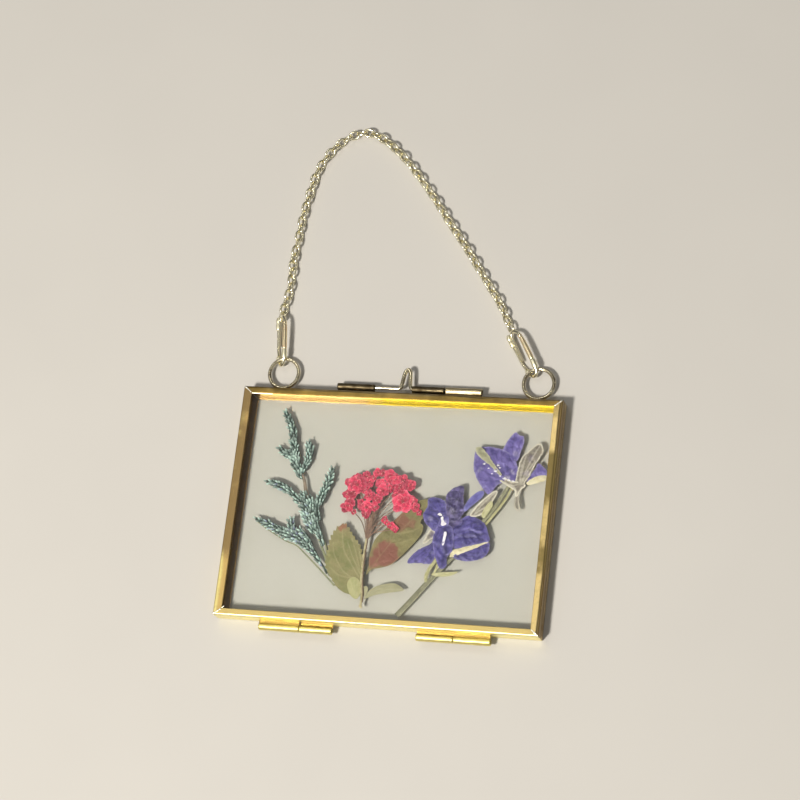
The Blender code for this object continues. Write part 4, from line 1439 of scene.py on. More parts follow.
    def build_ring(self, side: str) -> None:
        """Builds one hanging ring and the solder that joins it to the upper wall; the solder is dark, painted
        shade.

        Args:
            side: Which ring it is, left or right.
        """
        draft = Draft()
        x, y = RING_MIDDLES[side]
        line, radii = [], []
        for k in range(self.ring_steps):
            turn = 2 * math.pi * k / self.ring_steps
            across, along = RING_RADIUS * math.cos(turn), RING_RADIUS * math.sin(turn)
            line.append((x + across, y + along, self.ring_height))
            radii.append(self.ring_wire * (1 + self.ring_unevenness * math.sin(3 * turn + x)))
        draft.add(*swept(line, radii, self.wire_sides, closed=True))
        wall, low = FRAME_HEIGHT / 2 - self.overlap, y - RING_RADIUS
        foot = [(x, wall + (low - wall) * k / 4, self.ring_height) for k in range(5)]
        draft.add(*swept(foot, self.foot_radii, self.wire_sides, 0.5), 1)
        # The foot takes the dark tube brass, painted shade where the ring meets the wall.
        kinds = (Metal.WIRE, Metal.SHADED_TUBE)
        self.finishes.make(draft, f"wire_ring_{side}", kinds, Body.BACK, "brass", f"ring_{side}")

    def build(self) -> None:
        """Builds the tubes, the wire and the rings, and dresses the pins."""
        hinge, latch = (-34.2, 1.0), (34.2, 0.95)
        for node, ends, (y, radius), front, metal in (
            ("hinge_left_front_knuckle", (-32.3, -20.94), hinge, True, Metal.HINGE_TUBE),
            ("hinge_left_back_knuckle", (-20.86, -11.8), hinge, False, Metal.HINGE_TUBE),
            ("hinge_right_front_knuckle", (21.74, 31.8), hinge, True, Metal.HINGE_TUBE),
            ("hinge_right_back_knuckle", (11.5, 21.66), hinge, False, Metal.HINGE_TUBE),
            # The latch's two back tubes take the dark brass, painted shade.
            ("latch_tube_outer", (-19.0, -8.4), latch, False, Metal.SHADED_TUBE),
            ("latch_tube_middle", (2.2, 11.35), latch, False, Metal.SHADED_TUBE),
            ("latch_keeper_tube", (11.65, 21.9), latch, True, Metal.KEEPER_TUBE),
        ):
            self.barrel(node, ends, y, radius, front, metal)
        self.build_latch_wire()
        for side in RING_MIDDLES:
            self.finishes.dress(f"hinge_{side}_pin", Metal.SHADED_TUBE)
            self.build_ring(side)


@dataclass
class GlassPanes:
    """The two panes and the specks of dust on the front one."""

    finishes: Finishes
    specks: tuple[tuple[float, float, float], ...] = (
        (2.6, 24.3, 0.16), (17.2, 15.9, 0.2), (20.2, -22.4, 0.13), (25.6, -22.9, 0.12), (34.7, -6.2, 0.14),
        (22.0, -26.0, 0.1), (-10.4, 26.0, 0.1), (38.2, 4.2, 0.11),
    )

    def build(self) -> None:
        """Dresses the panes and adds the dust."""
        for node in ("back_glass", "front_glass"):
            self.finishes.dress(node, Glass.PANE)
        draft = Draft()
        drawn = random.Random(5)
        for x, y, size in self.specks:
            turn = Matrix.Rotation(drawn.uniform(0, math.pi), 3, "Z")
            half = turn @ Matrix.Diagonal((size, size * 0.6, 0.04))
            draft.add(*pebble((x, y, FRONT_PANE_TOP + 0.03), half, 6, 4))
        self.finishes.make(draft, "pane_dust", [Bloom.CREAM_PETAL], Body.FRONT, "glass")


# The hanging gear.


# The chain from the left clasp's loop to the right one's.
CHAIN_ROUTE = (
    (-38.25, 54.3), (-38.1, 56.2), (-37.2, 61.5), (-37.1, 66.5), (-37.2, 71.4), (-36.7, 76.6), (-36.4, 82.0),
    (-35.9, 86.5), (-35.1, 91.1), (-34.2, 96.0), (-32.7, 100.4), (-30.9, 103.4), (-28.6, 106.2),
    (-25.8, 108.4), (-22.8, 109.8), (-19.6, 110.0), (-16.0, 108.6), (-12.4, 106.1), (-8.5, 102.6),
    (-4.2, 97.8), (-0.2, 92.9), (3.4, 88.2), (7.0, 83.3), (10.8, 78.4), (14.3, 73.6),
    (17.3, 69.3), (20.7, 64.6), (24.0, 59.8), (26.6, 55.0), (27.35, 53.6),
)


@dataclass
class Chain:
    """A fine cable chain that lies in a loose arch between the clasps."""

    finishes: Finishes
    link_length: float = 3.5
    link_width: float = 2.85
    wire: float = 0.34
    pitch: float = 2.2
    height: float = 1.42
    roll: float = 40.0
    squareness: float = 0.82
    link_steps: int = 28
    wire_sides: int = 8
    seed: int = 3

    def route(self) -> list[tuple]:
        """Centres of the links, one pitch apart."""
        return spaced(smooth([(x, y, self.height) for x, y in CHAIN_ROUTE], 8), self.pitch)

    def link(self, middle: Vector, ahead: Vector, roll: float) -> Shape:
        """One oval link.

        Args:
            middle: Its centre.
            ahead: The chain's direction there.
            roll: Its turn about that direction, in radians.

        Returns:
            Vertices and faces of a closed ring.
        """
        side = ahead.cross(Vector((0, 0, 1))).normalized()
        rise = side.cross(ahead)
        across = side * math.cos(roll) + rise * math.sin(roll)
        through = ahead.cross(across).normalized()
        half_long, half_wide = self.link_length / 2 - self.wire, self.link_width / 2 - self.wire
        around, section = self.link_steps, self.wire_sides
        vertices = []
        for i in range(around):
            turn = 2 * math.pi * i / around
            along = math.copysign(abs(math.cos(turn)) ** self.squareness, math.cos(turn))
            aside = math.copysign(abs(math.sin(turn)) ** self.squareness, math.sin(turn))
            point = middle + ahead * along * half_long + across * aside * half_wide
            out = (ahead * math.cos(turn) / half_long + across * math.sin(turn) / half_wide).normalized()
            for k in range(section):
                spin = 2 * math.pi * k / section
                vertices.append(tuple(point + (out * math.cos(spin) + through * math.sin(spin)) * self.wire))
        return vertices, tube_faces(around, section, closed=True)

    def build(self, clasps: Sequence[bpy.types.Object]) -> None:
        """Args:
            clasps: The pieces at its ends, which are not used.
        """
        draft = Draft()
        drawn = random.Random(self.seed)
        route = [Vector(point) for point in self.route()]
        for i, middle in enumerate(route):
            ahead = (route[min(i + 1, len(route) - 1)] - route[max(i - 1, 0)]).normalized()
            turn = self.roll - (90 if i % 2 else 0) + drawn.uniform(-10, 10)
            draft.add(*self.link(middle, ahead, math.radians(turn)))
        chain = self.finishes.make(
            draft, "chain_links", [Metal.GILT], Body.BACK, "chain_gold", "chain", sharp=60.0
        )


CLASP_LENGTH = 14.3

# A clasp's bars: each has a material slot, then across, along and radius at each point.
# Its knobs: each has across, along, half axes and a material slot.
HOOK_BARS = (
    (0, (
        (-1.0, 2.5, 0.4), (-0.9, 1.2, 0.46), (-0.45, 0.25, 0.48), (0.0, 0.0, 0.48), (0.45, 0.25, 0.48),
        (0.85, 1.1, 0.5), (0.98, 1.9, 0.6),
    )),
    (2, (
        (0.98, 1.6, 0.5), (0.99, 1.9, 0.72), (1.0, 2.8, 0.8), (1.0, 3.8, 0.78), (1.0, 4.3, 0.62),
        (1.0, 4.5, 0.5),
    )),
    (1, (
        (1.0, 4.2, 0.5), (1.0, 4.6, 0.66), (1.0, 6.0, 0.7), (0.99, 9.0, 0.68), (0.97, 11.0, 0.6),
        (0.95, 11.5, 0.5),
    )),
    (0, (
        (0.96, 11.2, 0.52), (0.82, CLASP_LENGTH - 1.5, 0.5), (0.42, CLASP_LENGTH - 0.4, 0.48),
        (0.0, CLASP_LENGTH - 0.05, 0.46), (-0.36, CLASP_LENGTH - 0.4, 0.44),
        (-0.6, CLASP_LENGTH - 1.6, 0.42), (-0.66, 10.4, 0.4), (-0.74, 7.4, 0.36), (-0.8, 5.6, 0.3),
    )),
)
HOOK_KNOBS = ((-0.98, 2.3, (0.76, 0.8, 0.66), 2), (0.9, 11.9, (0.62, 0.66, 0.58), 1))
TRIGGER_BARS = (
    (0, (
        (-1.1, 10.8, 0.42), (-1.12, 9.0, 0.4), (-1.14, 7.4, 0.38), (-1.2, 5.6, 0.37), (-1.12, 4.0, 0.38),
        (-1.0, 3.0, 0.42),
    )),
    (1, (
        (-1.14, 10.6, 0.42), (-1.14, 11.0, 0.6), (-1.14, 12.0, 0.72), (-1.12, 12.6, 0.62),
        (-1.1, 13.3, 0.72), (-1.04, 14.1, 0.62), (-1.0, 14.4, 0.4),
    )),
)


@dataclass
class Clasp:
    """A snap clasp: a loop of swaged wire hooked on a ring and shut by a sprung trigger."""

    finishes: Finishes
    side: str
    ring_turn: float
    top: Point
    roll: float
    top_height: float = 2.45
    half_width: float = 2.0
    taper: float = 0.22
    hook: float = 1.65
    hook_height: float = 2.05
    bar_sides: int = 12
    knob_bands: int = 8

    def at(self, across: float, along: float) -> tuple[float, float, float]:
        """A point of the clasp's flat loop.

        Args:
            across: Its share of the half width, to the trigger's side where it is below 0.
            along: Its distance from the loop's lowest bend, in millimetres.

        Returns:
            The point in the brass frame's millimetres.
        """
        turn, roll = math.radians(self.ring_turn), math.radians(self.roll)
        x, y = RING_MIDDLES[self.side]
        x, y = x + RING_RADIUS * math.cos(turn), y + RING_RADIUS * math.sin(turn)
        start, end = Vector((x, y, self.hook_height)), Vector((*self.top, self.top_height))
        axis = (end - start).normalized()
        side = axis.cross(Vector((0, 0, 1))).normalized()
        rise = side.cross(axis)
        half = self.half_width * (1 - self.taper * (1 - along / CLASP_LENGTH) ** 2)
        out = (side * math.cos(roll) + rise * math.sin(roll)) * across * half
        return tuple(start + axis * (along - self.hook) + out)

    def build(self) -> list[bpy.types.Object]:
        """Builds the clasp's hook with its tube and loop, then its trigger with a grooved grip.

        Returns:
            The pieces.
        """
        name = f"clasp_{self.side}"
        made = []
        for part, node, bars, knobs, kinds in (
            ("body", name, HOOK_BARS, HOOK_KNOBS, (Metal.GILT, Metal.ROSE_GILT, Metal.LIT_KNOB_GILT)),
            ("trigger", f"{name}_lever", TRIGGER_BARS, (), (Metal.GILT, Metal.LIT_KNOB_GILT)),
        ):
            draft = Draft()
            for slot, line in bars:
                bar = smooth(line, 5)
                points, radii = [self.at(a, l) for a, l, _ in bar], [radius for _, _, radius in bar]
                draft.add(*swept(points, radii, self.bar_sides), slot)
            for across, along, half, slot in knobs:
                knob = pebble(self.at(across, along), Matrix.Diagonal(half), self.bar_sides, self.knob_bands)
                draft.add(*knob, slot)
            piece = self.finishes.make(draft, f"{name}_{part}", kinds, Body.BACK, "chain_gold", node)
            made.append(piece)
        return made


# The dried plants.


# Each leaf's piece, finish, CAD node and blades.
LEAVES = (
    ("serrated_leaf", Leaf.SERRATED, "leaf_serrated", (
        Blade(((-13.2, -4.9), (-11.9, -4.6), (-10.8, -5.7), (-9.5, -7.4), (-8.0, -9.1), (-6.6, -11.1),
            (-5.9, -13.8), (-5.1, -16.2), (-5.1, -18.9), (-5.3, -21.7), (-5.9, -24.8), (-8.2, -23.9),
            (-10.0, -23.4), (-12.3, -21.8), (-14.2, -19.2), (-15.7, -16.8), (-16.0, -14.8), (-15.8, -11.3),
            (-15.2, -7.9), (-14.0, -5.9)), 2.52, curves(((-5.3, -20.0), (-7.2, -17.7), (-9.3, -14.7),
            (-11.3, -11.7), (-12.4, -6.4)), ((-5.3, -19.6), (-6.9, -16.3), (-8.4, -14.0), (-10.5, -9.6)),
            ((-5.7, -20.0), (-9.2, -18.7), (-11.6, -16.6), (-13.8, -13.2), (-14.6, -9.8)), ((-5.3, -19.3),
            (-6.4, -16.3), (-7.6, -12.9), (-9.4, -8.4)), ((-5.8, -20.4), (-8.7, -19.3), (-12.0, -18.7),
            (-14.5, -16.8)), ((-5.2, -18.2), (-6.0, -14.8), (-7.2, -11.0))), 0.14, crown=0.1, ridge=0.05,
            ripple=0.08, crumple=0.03, seed=1.0, patches=((-12.6, -5.2, 1.2, 0.9),)),
    )),
    ("oval_leaf", Leaf.OVAL, "leaf_oval", (
        Blade(((-9.1, -21.5), (-8.7, -19.8), (-7.4, -19.1), (-6.0, -19.9), (-5.1, -21.7), (-5.2, -23.8),
            (-6.2, -25.1), (-8.0, -24.0)), 2.82, fan((-5.6, -24.6), ((-8.3, -20.2), (-7.4, -19.5),
            (-6.3, -20.2), (-8.6, -22.0)), 0.06), 0.12, steps=6, crown=0.14, ridge=0.02, ripple=0.04,
            seed=2.0),
    )),
    ("narrow_leaf", Leaf.NARROW, "leaf_narrow", (
        Blade(((-4.0, -24.9), (-3.4, -23.3), (-2.1, -21.8), (0.5, -20.6), (3.9, -20.1), (6.4, -21.4),
            (6.2, -22.0), (2.8, -22.7), (-0.9, -23.5)), 2.53, fan((-4.0, -24.7), ((6.0, -21.5),
            (3.6, -20.7), (3.4, -22.3), (0.0, -21.5)), 0.08), 0.13, steps=5, seed=3.0),
        Blade(((-4.9, -24.4), (-4.9, -22.2), (-4.0, -21.3), (-3.2, -22.0), (-3.7, -23.8)), 2.6, crown=0.06,
            seed=3.5, tone=0.7),
    )),
    ("large_leaf", Leaf.LARGE, "leaf_large", (
        Blade(((-4.3, -18.2), (-3.9, -15.4), (-4.0, -12.6), (-3.1, -8.6), (-0.9, -5.7), (2.2, -2.2),
            (5.0, 0.8), (8.2, 3.1), (10.5, 3.4), (10.5, 0.9), (9.6, -1.5), (9.0, -3.0), (9.9, -4.0),
            (9.6, -6.2), (8.3, -8.2), (6.1, -11.0), (4.5, -12.9), (2.3, -15.0), (-0.6, -16.1),
            (-2.9, -16.7)), 2.53, curves(((-3.6, -16.8), (-0.8, -12.6), (1.5, -8.9), (2.3, -7.1),
            (3.9, -5.6), (5.4, -3.8), (7.2, -1.6), (9.0, 1.6)), ((-1.0, -12.8), (-2.0, -9.0), (-1.0, -6.6)),
            ((1.5, -8.9), (1.4, -5.6), (3.4, -1.6)), ((1.2, -9.4), (4.6, -8.6), (7.6, -7.4)), ((3.0, -6.4),
            (6.6, -5.4), (9.0, -4.4))), 0.16, steps=5, crown=0.1, ridge=0.04, ripple=0.09, ripple_size=3.0,
            seed=4.0, patches=((0.5, -12.3, 3.6, 1.0), (-2.6, -14.6, 1.7, 1.0), (3.6, -3.2, 2.5, 0.85),
            (6.2, -3.4, 1.5, 0.7))),
    )),
)


@dataclass
class DriedLeaves:
    """The four loose leaves round the pink flower's stalk."""

    finishes: Finishes
    tooth: float = 0.62
    tooth_step: float = 1.45
    tooth_points: int = 5
    tooth_dip: float = 0.35
    smooth_foot: float = -23.5
    fade_height: float = 6.0

    def toothed(self, leaf: Blade) -> Blade:
        """A leaf whose edge runs in small teeth that point to its tip.

        Args:
            leaf: The leaf with its plain edge, from its tip down its right side and up its left side.

        Returns:
            The leaf with its teeth.
        """
        curve = smooth(leaf.outline, leaf.steps, closed=True)
        edge = spaced([*curve, curve[0]], self.tooth_step / self.tooth_points)[:-1]
        made = []
        for i, (x, y) in enumerate(edge):
            before, after = edge[i - 2], edge[(i + 2) % len(edge)]
            dx, dy = after[0] - before[0], after[1] - before[1]
            size = math.hypot(dx, dy) or 1.0
            share = (i % self.tooth_points) / (self.tooth_points - 1)
            saw = share if dy > 0 else 1 - share
            fade = min(1.0, max(0.0, (y - self.smooth_foot) / self.fade_height))
            out = self.tooth * (saw - self.tooth_dip) * fade
            made.append((x - dy / size * out, y + dx / size * out))
        return replace(leaf, outline=made, steps=1)

    def build(self) -> None:
        """Builds the four leaves, the first of them toothed."""
        for name, finish, node, blades in LEAVES:
            draft = Draft()
            for blade in blades:
                blade = self.toothed(blade) if finish is Leaf.SERRATED else blade
                blade.add_to(draft)
            self.finishes.make(draft, name, [finish], Body.BACK, "dried_leaf", node)


# The florets of each CAD node: the height of the lowest, then x, y, radius and level of each.
FLORETS = {
    "spiraea_florets_left": (3.08, ((-9.9, 8.2, 1.7, 0), (-12.0, 6.7, 1.6, 0), (-12.2, 3.6, 1.5, 0),
        (-10.7, 4.2, 2.1, 1), (-7.6, 5.6, 1.8, 0), (-7.2, 8.7, 1.8, 1), (-6.3, 7.3, 1.7, 2),
        (-9.6, 6.2, 3.0, 2), (-9.8, -1.2, 1.0, 0), (-11.6, 0.3, 2.5, 1))),
    "spiraea_florets_middle": (3.3, ((-4.2, 9.9, 1.6, 1), (-2.8, 9.9, 1.4, 0), (-5.3, 8.4, 1.0, 0),
        (-0.8, 9.1, 2.1, 2), (1.0, 8.4, 1.8, 1), (-2.9, 6.9, 1.9, 0), (-0.4, 6.0, 1.7, 1),
        (-2.2, 4.9, 2.3, 2), (-5.9, 3.4, 2.0, 2), (-3.7, 2.5, 1.9, 1), (-8.0, 1.2, 1.5, 0),
        (-6.2, -1.7, 1.4, 0), (-3.9, 0.2, 1.4, 0), (-6.3, 0.1, 2.4, 1))),
    "spiraea_florets_right": (3.08, ((2.9, 8.2, 2.0, 1), (5.2, 7.0, 1.9, 0), (2.6, 6.1, 1.9, 2),
        (1.7, 4.3, 1.6, 0), (6.4, 2.7, 1.7, 0), (7.4, 1.0, 1.5, 1), (8.4, -0.4, 1.1, 0),
        (3.6, 2.3, 3.7, 2))),
    "spiraea_buds": (3.08, ((-0.8, -3.0, 1.2, 0), (0.0, -3.8, 0.9, 1), (1.1, -4.4, 1.2, 0),
        (2.3, -5.4, 1.2, 1))),
}


@dataclass
class PinkFlowerHead:
    """A flat head of small crowded florets on thin branching stalks."""

    finishes: Finishes
    petal_thickness: float = 0.05
    petal_rows: int = 6
    petal_columns: int = 8
    notch_depth: float = 0.1
    notch_width: float = 0.28
    ruffle: float = 0.06
    flutter: float = 0.04
    level_step: float = 0.1
    rings: Sequence[tuple[int, float, float]] = ((5, 1.0, 0.0), (4, 0.62, 0.09))
    smallest_inner: float = 0.8
    stamens: int = 7
    fork_height: float = 2.92
    stalk_radius: float = 0.3
    stalk_flare: float = 0.12
    shade_radius: float = 0.22
    foot_radius: float = 0.34
    seed: int = 21

    def petal(
        self,
        draft: Draft,
        middle: Sequence[float],
        turn: float,
        reach: float,
        tone: float,
        drawn: random.Random,
    ) -> None:
        """Adds one cupped and ruffled petal.

        Args:
            draft: The piece that it is part of.
            middle: The floret's centre.
            turn: The petal's direction, in radians.
            reach: How far it reaches from the centre.
            tone: Its lightness, from 0 to 1.
            drawn: Source of its unevenness.
        """
        rows, columns = self.petal_rows, self.petal_columns
        width = reach * drawn.uniform(0.4, 0.56)
        lift = drawn.uniform(0.02, 0.2)
        curl = drawn.uniform(-0.08, 0.14)
        wave = drawn.uniform(0, 2 * math.pi)
        skew = drawn.uniform(-0.15, 0.15)
        top, traits = [], []
        for i in range(rows + 1):
            t = i / rows
            half = width * math.sin(math.pi * min(1.0, 0.1 + 0.78 * t)) ** 0.7
            for k in range(columns + 1):
                s = 2 * k / columns - 1
                notch = self.notch_depth * math.exp(-((s / self.notch_width) ** 2)) * t**3
                along = reach * (0.08 + 0.92 * t) * (1 - 0.2 * s * s * t - notch)
                aside = half * s * (1 + 0.12 * math.sin(6 * t + wave)) + skew * reach * t * t
                ruffle = self.ruffle * math.sin(4.2 * s + wave) * t
                ruffle += self.flutter * math.sin(7 * t + 2 * wave)
                z = middle[2] + lift * t**2 + curl * s * s * t + ruffle - 0.04 * (1 - t)
                x = middle[0] + along * math.cos(turn) - aside * math.sin(turn)
                y = middle[1] + along * math.sin(turn) + aside * math.cos(turn)
                top.append((x, y, min(max(z, PLANT_FLOOR + 0.1), PLANT_CEILING)))
                traits.append({Trait.RIM: max(abs(s) ** 4, t**5), Trait.VEIN: (1 - t) ** 2, Trait.TONE: tone})
        count, wide = len(top), columns + 1
        bottom = [(x, y, z - self.petal_thickness) for x, y, z in top]
        faces = []
        for i in range(rows):
            for k in range(columns):
                a = i * wide + k
                faces.append((a, a + wide, a + wide + 1, a + 1))
                faces.append((a + count, a + 1 + count, a + wide + 1 + count, a + wide + count))
        ring = list(range(wide))
        ring += [i * wide + columns for i in range(1, rows + 1)]
        ring += [rows * wide + k for k in range(columns - 1, -1, -1)]
        ring += [i * wide for i in range(rows - 1, 0, -1)]
        faces += [(b, b + count, a + count, a) for a, b in zip(ring, ring[1:] + ring[:1])]
        draft.add([*top, *bottom], faces, 0, traits * 2)

    def floret(self, draft: Draft, x: float, y: float, z: float, radius: float, drawn: random.Random) -> None:
        """Adds one floret: two rings of petals, a small dull heart and its stamens.

        Args:
            draft: The piece that it is part of.
            x: Its centre across the frame.
            y: Its centre along the frame.
            z: The height of its lowest petals.
            radius: Its radius.
            drawn: Source of its unevenness.
        """
        start = drawn.uniform(0, 2 * math.pi)
        lit = 0.25 if radius > 3 or radius < 1 else 0.0
        tone = drawn.uniform(0.3, 0.6) + lit
        for count, share, rise in self.rings:
            if radius * share < self.smallest_inner and share < 1:
                continue
            for k in range(count):
                turn = start + share * 2 + 2 * math.pi * k / count + drawn.uniform(-0.25, 0.25)
                reach = radius * share * drawn.uniform(0.82, 1.08)
                level = z + rise + 0.04 * (k % 2)
                self.petal(draft, (x, y, level), turn, reach, tone + drawn.uniform(-0.25, 0.3), drawn)
        heart = Matrix.Diagonal((radius * 0.13, radius * 0.12, 0.06))
        draft.add(*pebble((x, y, z + 0.16), heart, 8, 5), 1, {Trait.TONE: 0.5, Trait.RIM: 0.3})
        for k in range(self.stamens):
            turn = start + 2 * math.pi * k / self.stamens + drawn.uniform(-0.3, 0.3)
            out = radius * drawn.uniform(0.14, 0.36)
            spot = (x + out * math.cos(turn), y + out * math.sin(turn), z + 0.22)
            size = drawn.uniform(0.06, 0.11)
            grain = Matrix.Diagonal((size, size, 0.05))
            draft.add(*pebble(spot, grain, 6, 4), 2 if k % 3 else 1, {Trait.TONE: 0.9, Trait.RIM: 1.0})

    def build_florets(self) -> None:
        """Builds the four groups of florets."""
        drawn = random.Random(self.seed)
        kinds = (Bloom.CORAL, Bloom.CORAL_HEART, Bloom.STAMEN)
        for name, (base, florets) in FLORETS.items():
            draft = Draft()
            for x, y, radius, level in florets:
                self.floret(draft, x, y, base + level * self.level_step, radius, drawn)
            made = name.replace("spiraea", "pink")
            self.finishes.make(draft, made, kinds, Body.BACK, "coral_petal", name)

    def build_stalks(self) -> None:
        """Builds the stalk and the thin stalks of the florets."""
        draft = Draft()
        route = (
            (-4.7, -27.2, 2.86), (-4.7, -24.0, 2.9), (-5.3, -19.7, 2.96), (-5.5, -14.0, 2.94),
            (-5.3, -8.4, 2.9),
        )
        stalk = smooth(route, 6)
        radii = [
            self.stalk_radius + self.stalk_flare * math.exp(-i * 0.4) + 0.02 * math.sin(i * 2.1)
            for i in range(len(stalk))
        ]
        draft.add(*swept(stalk, radii, 10, 0.5), 0, {Trait.TONE: 0.9})
        # Painted shadow: a darker strip just below the stalk, on its side away from the light.
        shaded = [(x + 0.32, y, z - 0.06) for x, y, z in stalk[3:]]
        draft.add(*swept(shaded, [self.shade_radius] * len(shaded), 8, 0.5), 1, {Trait.TONE: 0.1})
        foot = ((-4.9, -26.6, 2.86), (-4.6, -27.2, 2.88), (-4.2, -27.1, 2.9))
        draft.add(*swept(smooth(foot, 3), [self.foot_radius] * 7, 8, 0.6), 0, {Trait.TONE: 1.0})
        forks = ((-5.3, -9.0, 2.9), (-5.2, -7.0, 2.9))
        drawn = random.Random(self.seed + 1)
        for base, florets in FLORETS.values():
            for x, y, radius, _ in florets:
                if radius < 1.7 and y > -2:
                    continue
                low = forks[drawn.randrange(2)]
                share = drawn.uniform(0.3, 0.5)
                knee = (low[0] + (x - low[0]) * share * 0.7, low[1] + (y - low[1]) * (share + 0.12))
                if y < -2.5:
                    knee = (low[0] + 1.6, low[1] + 2.2)
                line = smooth((low, (*knee, self.fork_height), (x, y, base - 0.04)), 8)
                thick = drawn.uniform(0.1, 0.15)
                draft.add(*swept(line, [thick] * len(line), 7, 0.8), 1, {Trait.TONE: drawn.uniform(0.1, 1.0)})
        kinds = (Bloom.CREAM_STALK, Bloom.ROSE_STALK)
        self.finishes.make(draft, "pink_flower_stalk", kinds, Body.BACK, "dried_stem", "spiraea_stem")

    def build(self) -> None:
        """Builds the whole flower head."""
        self.build_florets()
        self.build_stalks()


@dataclass(frozen=True)
class Spike:
    """One spike of the sprig: its route, its widths there and the height of its grains."""

    route: Line
    widths: Sequence[float]
    height: float = 2.3
    violet: float = 0.04


# The sprig's spikes and, below, its twigs: route, radius and finish after the seeds' one.
SPIKES = {
    "sprig_main": (
        Spike(((-33.1, 26.2), (-31.3, 23.4), (-30.2, 20.7), (-29.6, 18.2)), (1.4, 2.2, 2.6, 2.5)),
        Spike(((-29.6, 18.2), (-28.9, 15.0), (-28.3, 12.0), (-27.0, 9.6), (-25.9, 7.4)),
            (2.2, 2.9, 3.2, 2.2, 1.0)),
        Spike(((-25.3, 3.4), (-23.6, 1.2), (-22.3, -1.6), (-21.0, -4.2)), (2.0, 4.6, 5.6, 5.0)),
        Spike(((-23.6, -1.6), (-22.0, -4.6), (-20.6, -7.4)), (2.6, 3.0, 1.6)),
        Spike(((-21.0, -4.2), (-19.2, -7.2), (-17.6, -10.4)), (2.8, 2.2, 1.2)),
        Spike(((-33.3, 15.8), (-31.6, 14.4), (-30.0, 14.0), (-28.3, 12.6)), (1.4, 2.2, 3.0, 2.6)),
        Spike(((-25.4, 18.0), (-24.6, 15.8), (-24.8, 12.8), (-25.6, 9.8)), (1.6, 2.7, 2.2, 1.4)),
    ),
    "sprig_left": (
        Spike(((-35.7, 6.0), (-33.0, 5.6), (-30.0, 4.4), (-27.4, 2.6), (-25.6, 1.0)),
            (1.0, 2.4, 2.4, 1.8, 2.2), 2.66),
    ),
    "sprig_right": (
        Spike(((-17.3, 10.8), (-17.9, 7.4), (-18.9, 4.2), (-20.0, 0.6)), (1.2, 2.5, 2.5, 2.6), 2.66),
    ),
    "sprig_lower": (
        Spike(((-37.4, -4.6), (-34.4, -5.6), (-31.6, -6.8), (-28.4, -8.2)), (1.0, 2.2, 2.5, 2.8), 2.66,
            0.16),
        Spike(((-28.4, -8.2), (-25.4, -9.0), (-22.4, -10.8), (-19.4, -13.4), (-17.2, -16.2)),
            (2.8, 3.2, 2.6, 1.9, 1.0), 2.66, 0.1),
        Spike(((-27.0, -3.9), (-27.0, -5.4), (-26.2, -7.6)), (1.4, 2.4, 2.6), 2.66, 0.12),
        Spike(((-24.4, -6.8), (-22.6, -8.6), (-20.6, -11.0)), (1.2, 1.8, 1.4), 2.7, 0.04),
    ),
}
TWIGS = {
    "sprig_main": (
        (((-33.4, 26.2), (-30.0, 19.5), (-28.2, 13.7), (-26.4, 9.2)), 0.3, 0),
        (((-26.6, 9.4), (-25.2, 7.2), (-24.4, 4.4), (-23.4, 2.2)), 0.62, 2),
        (((-24.2, 3.2), (-21.9, -2.4), (-18.6, -9.4), (-16.2, -14.4), (-14.5, -19.0)), 0.42, 1),
        (((-21.2, -4.3), (-19.4, -6.2), (-18.3, -8.1), (-16.7, -10.8), (-15.6, -15.4)), 0.26, 1),
        (((-33.0, 15.4), (-28.0, 11.0), (-26.4, 8.8)), 0.24, 0),
        (((-25.8, 18.0), (-24.8, 13.0), (-26.2, 8.8)), 0.24, 0),
    ),
    "sprig_left": (
        (((-35.6, 6.0), (-30.4, 4.4), (-25.4, 1.0), (-22.4, -2.0)), 0.26, 0),
    ),
    "sprig_right": (
        (((-17.5, 11.0), (-18.4, 5.4), (-20.4, 0.0), (-19.6, -4.4)), 0.26, 0),
    ),
    "sprig_lower": (
        (((-37.2, -4.9), (-30.0, -7.2), (-23.0, -10.4), (-17.6, -15.4), (-15.2, -18.6)), 0.3, 0),
        (((-37.0, -5.2), (-34.3, -7.0), (-31.7, -8.4), (-28.2, -10.2), (-24.8, -11.4), (-22.5, -13.2),
            (-19.4, -15.8), (-15.3, -19.4), (-12.7, -21.8)), 0.24, 1),
    ),
}


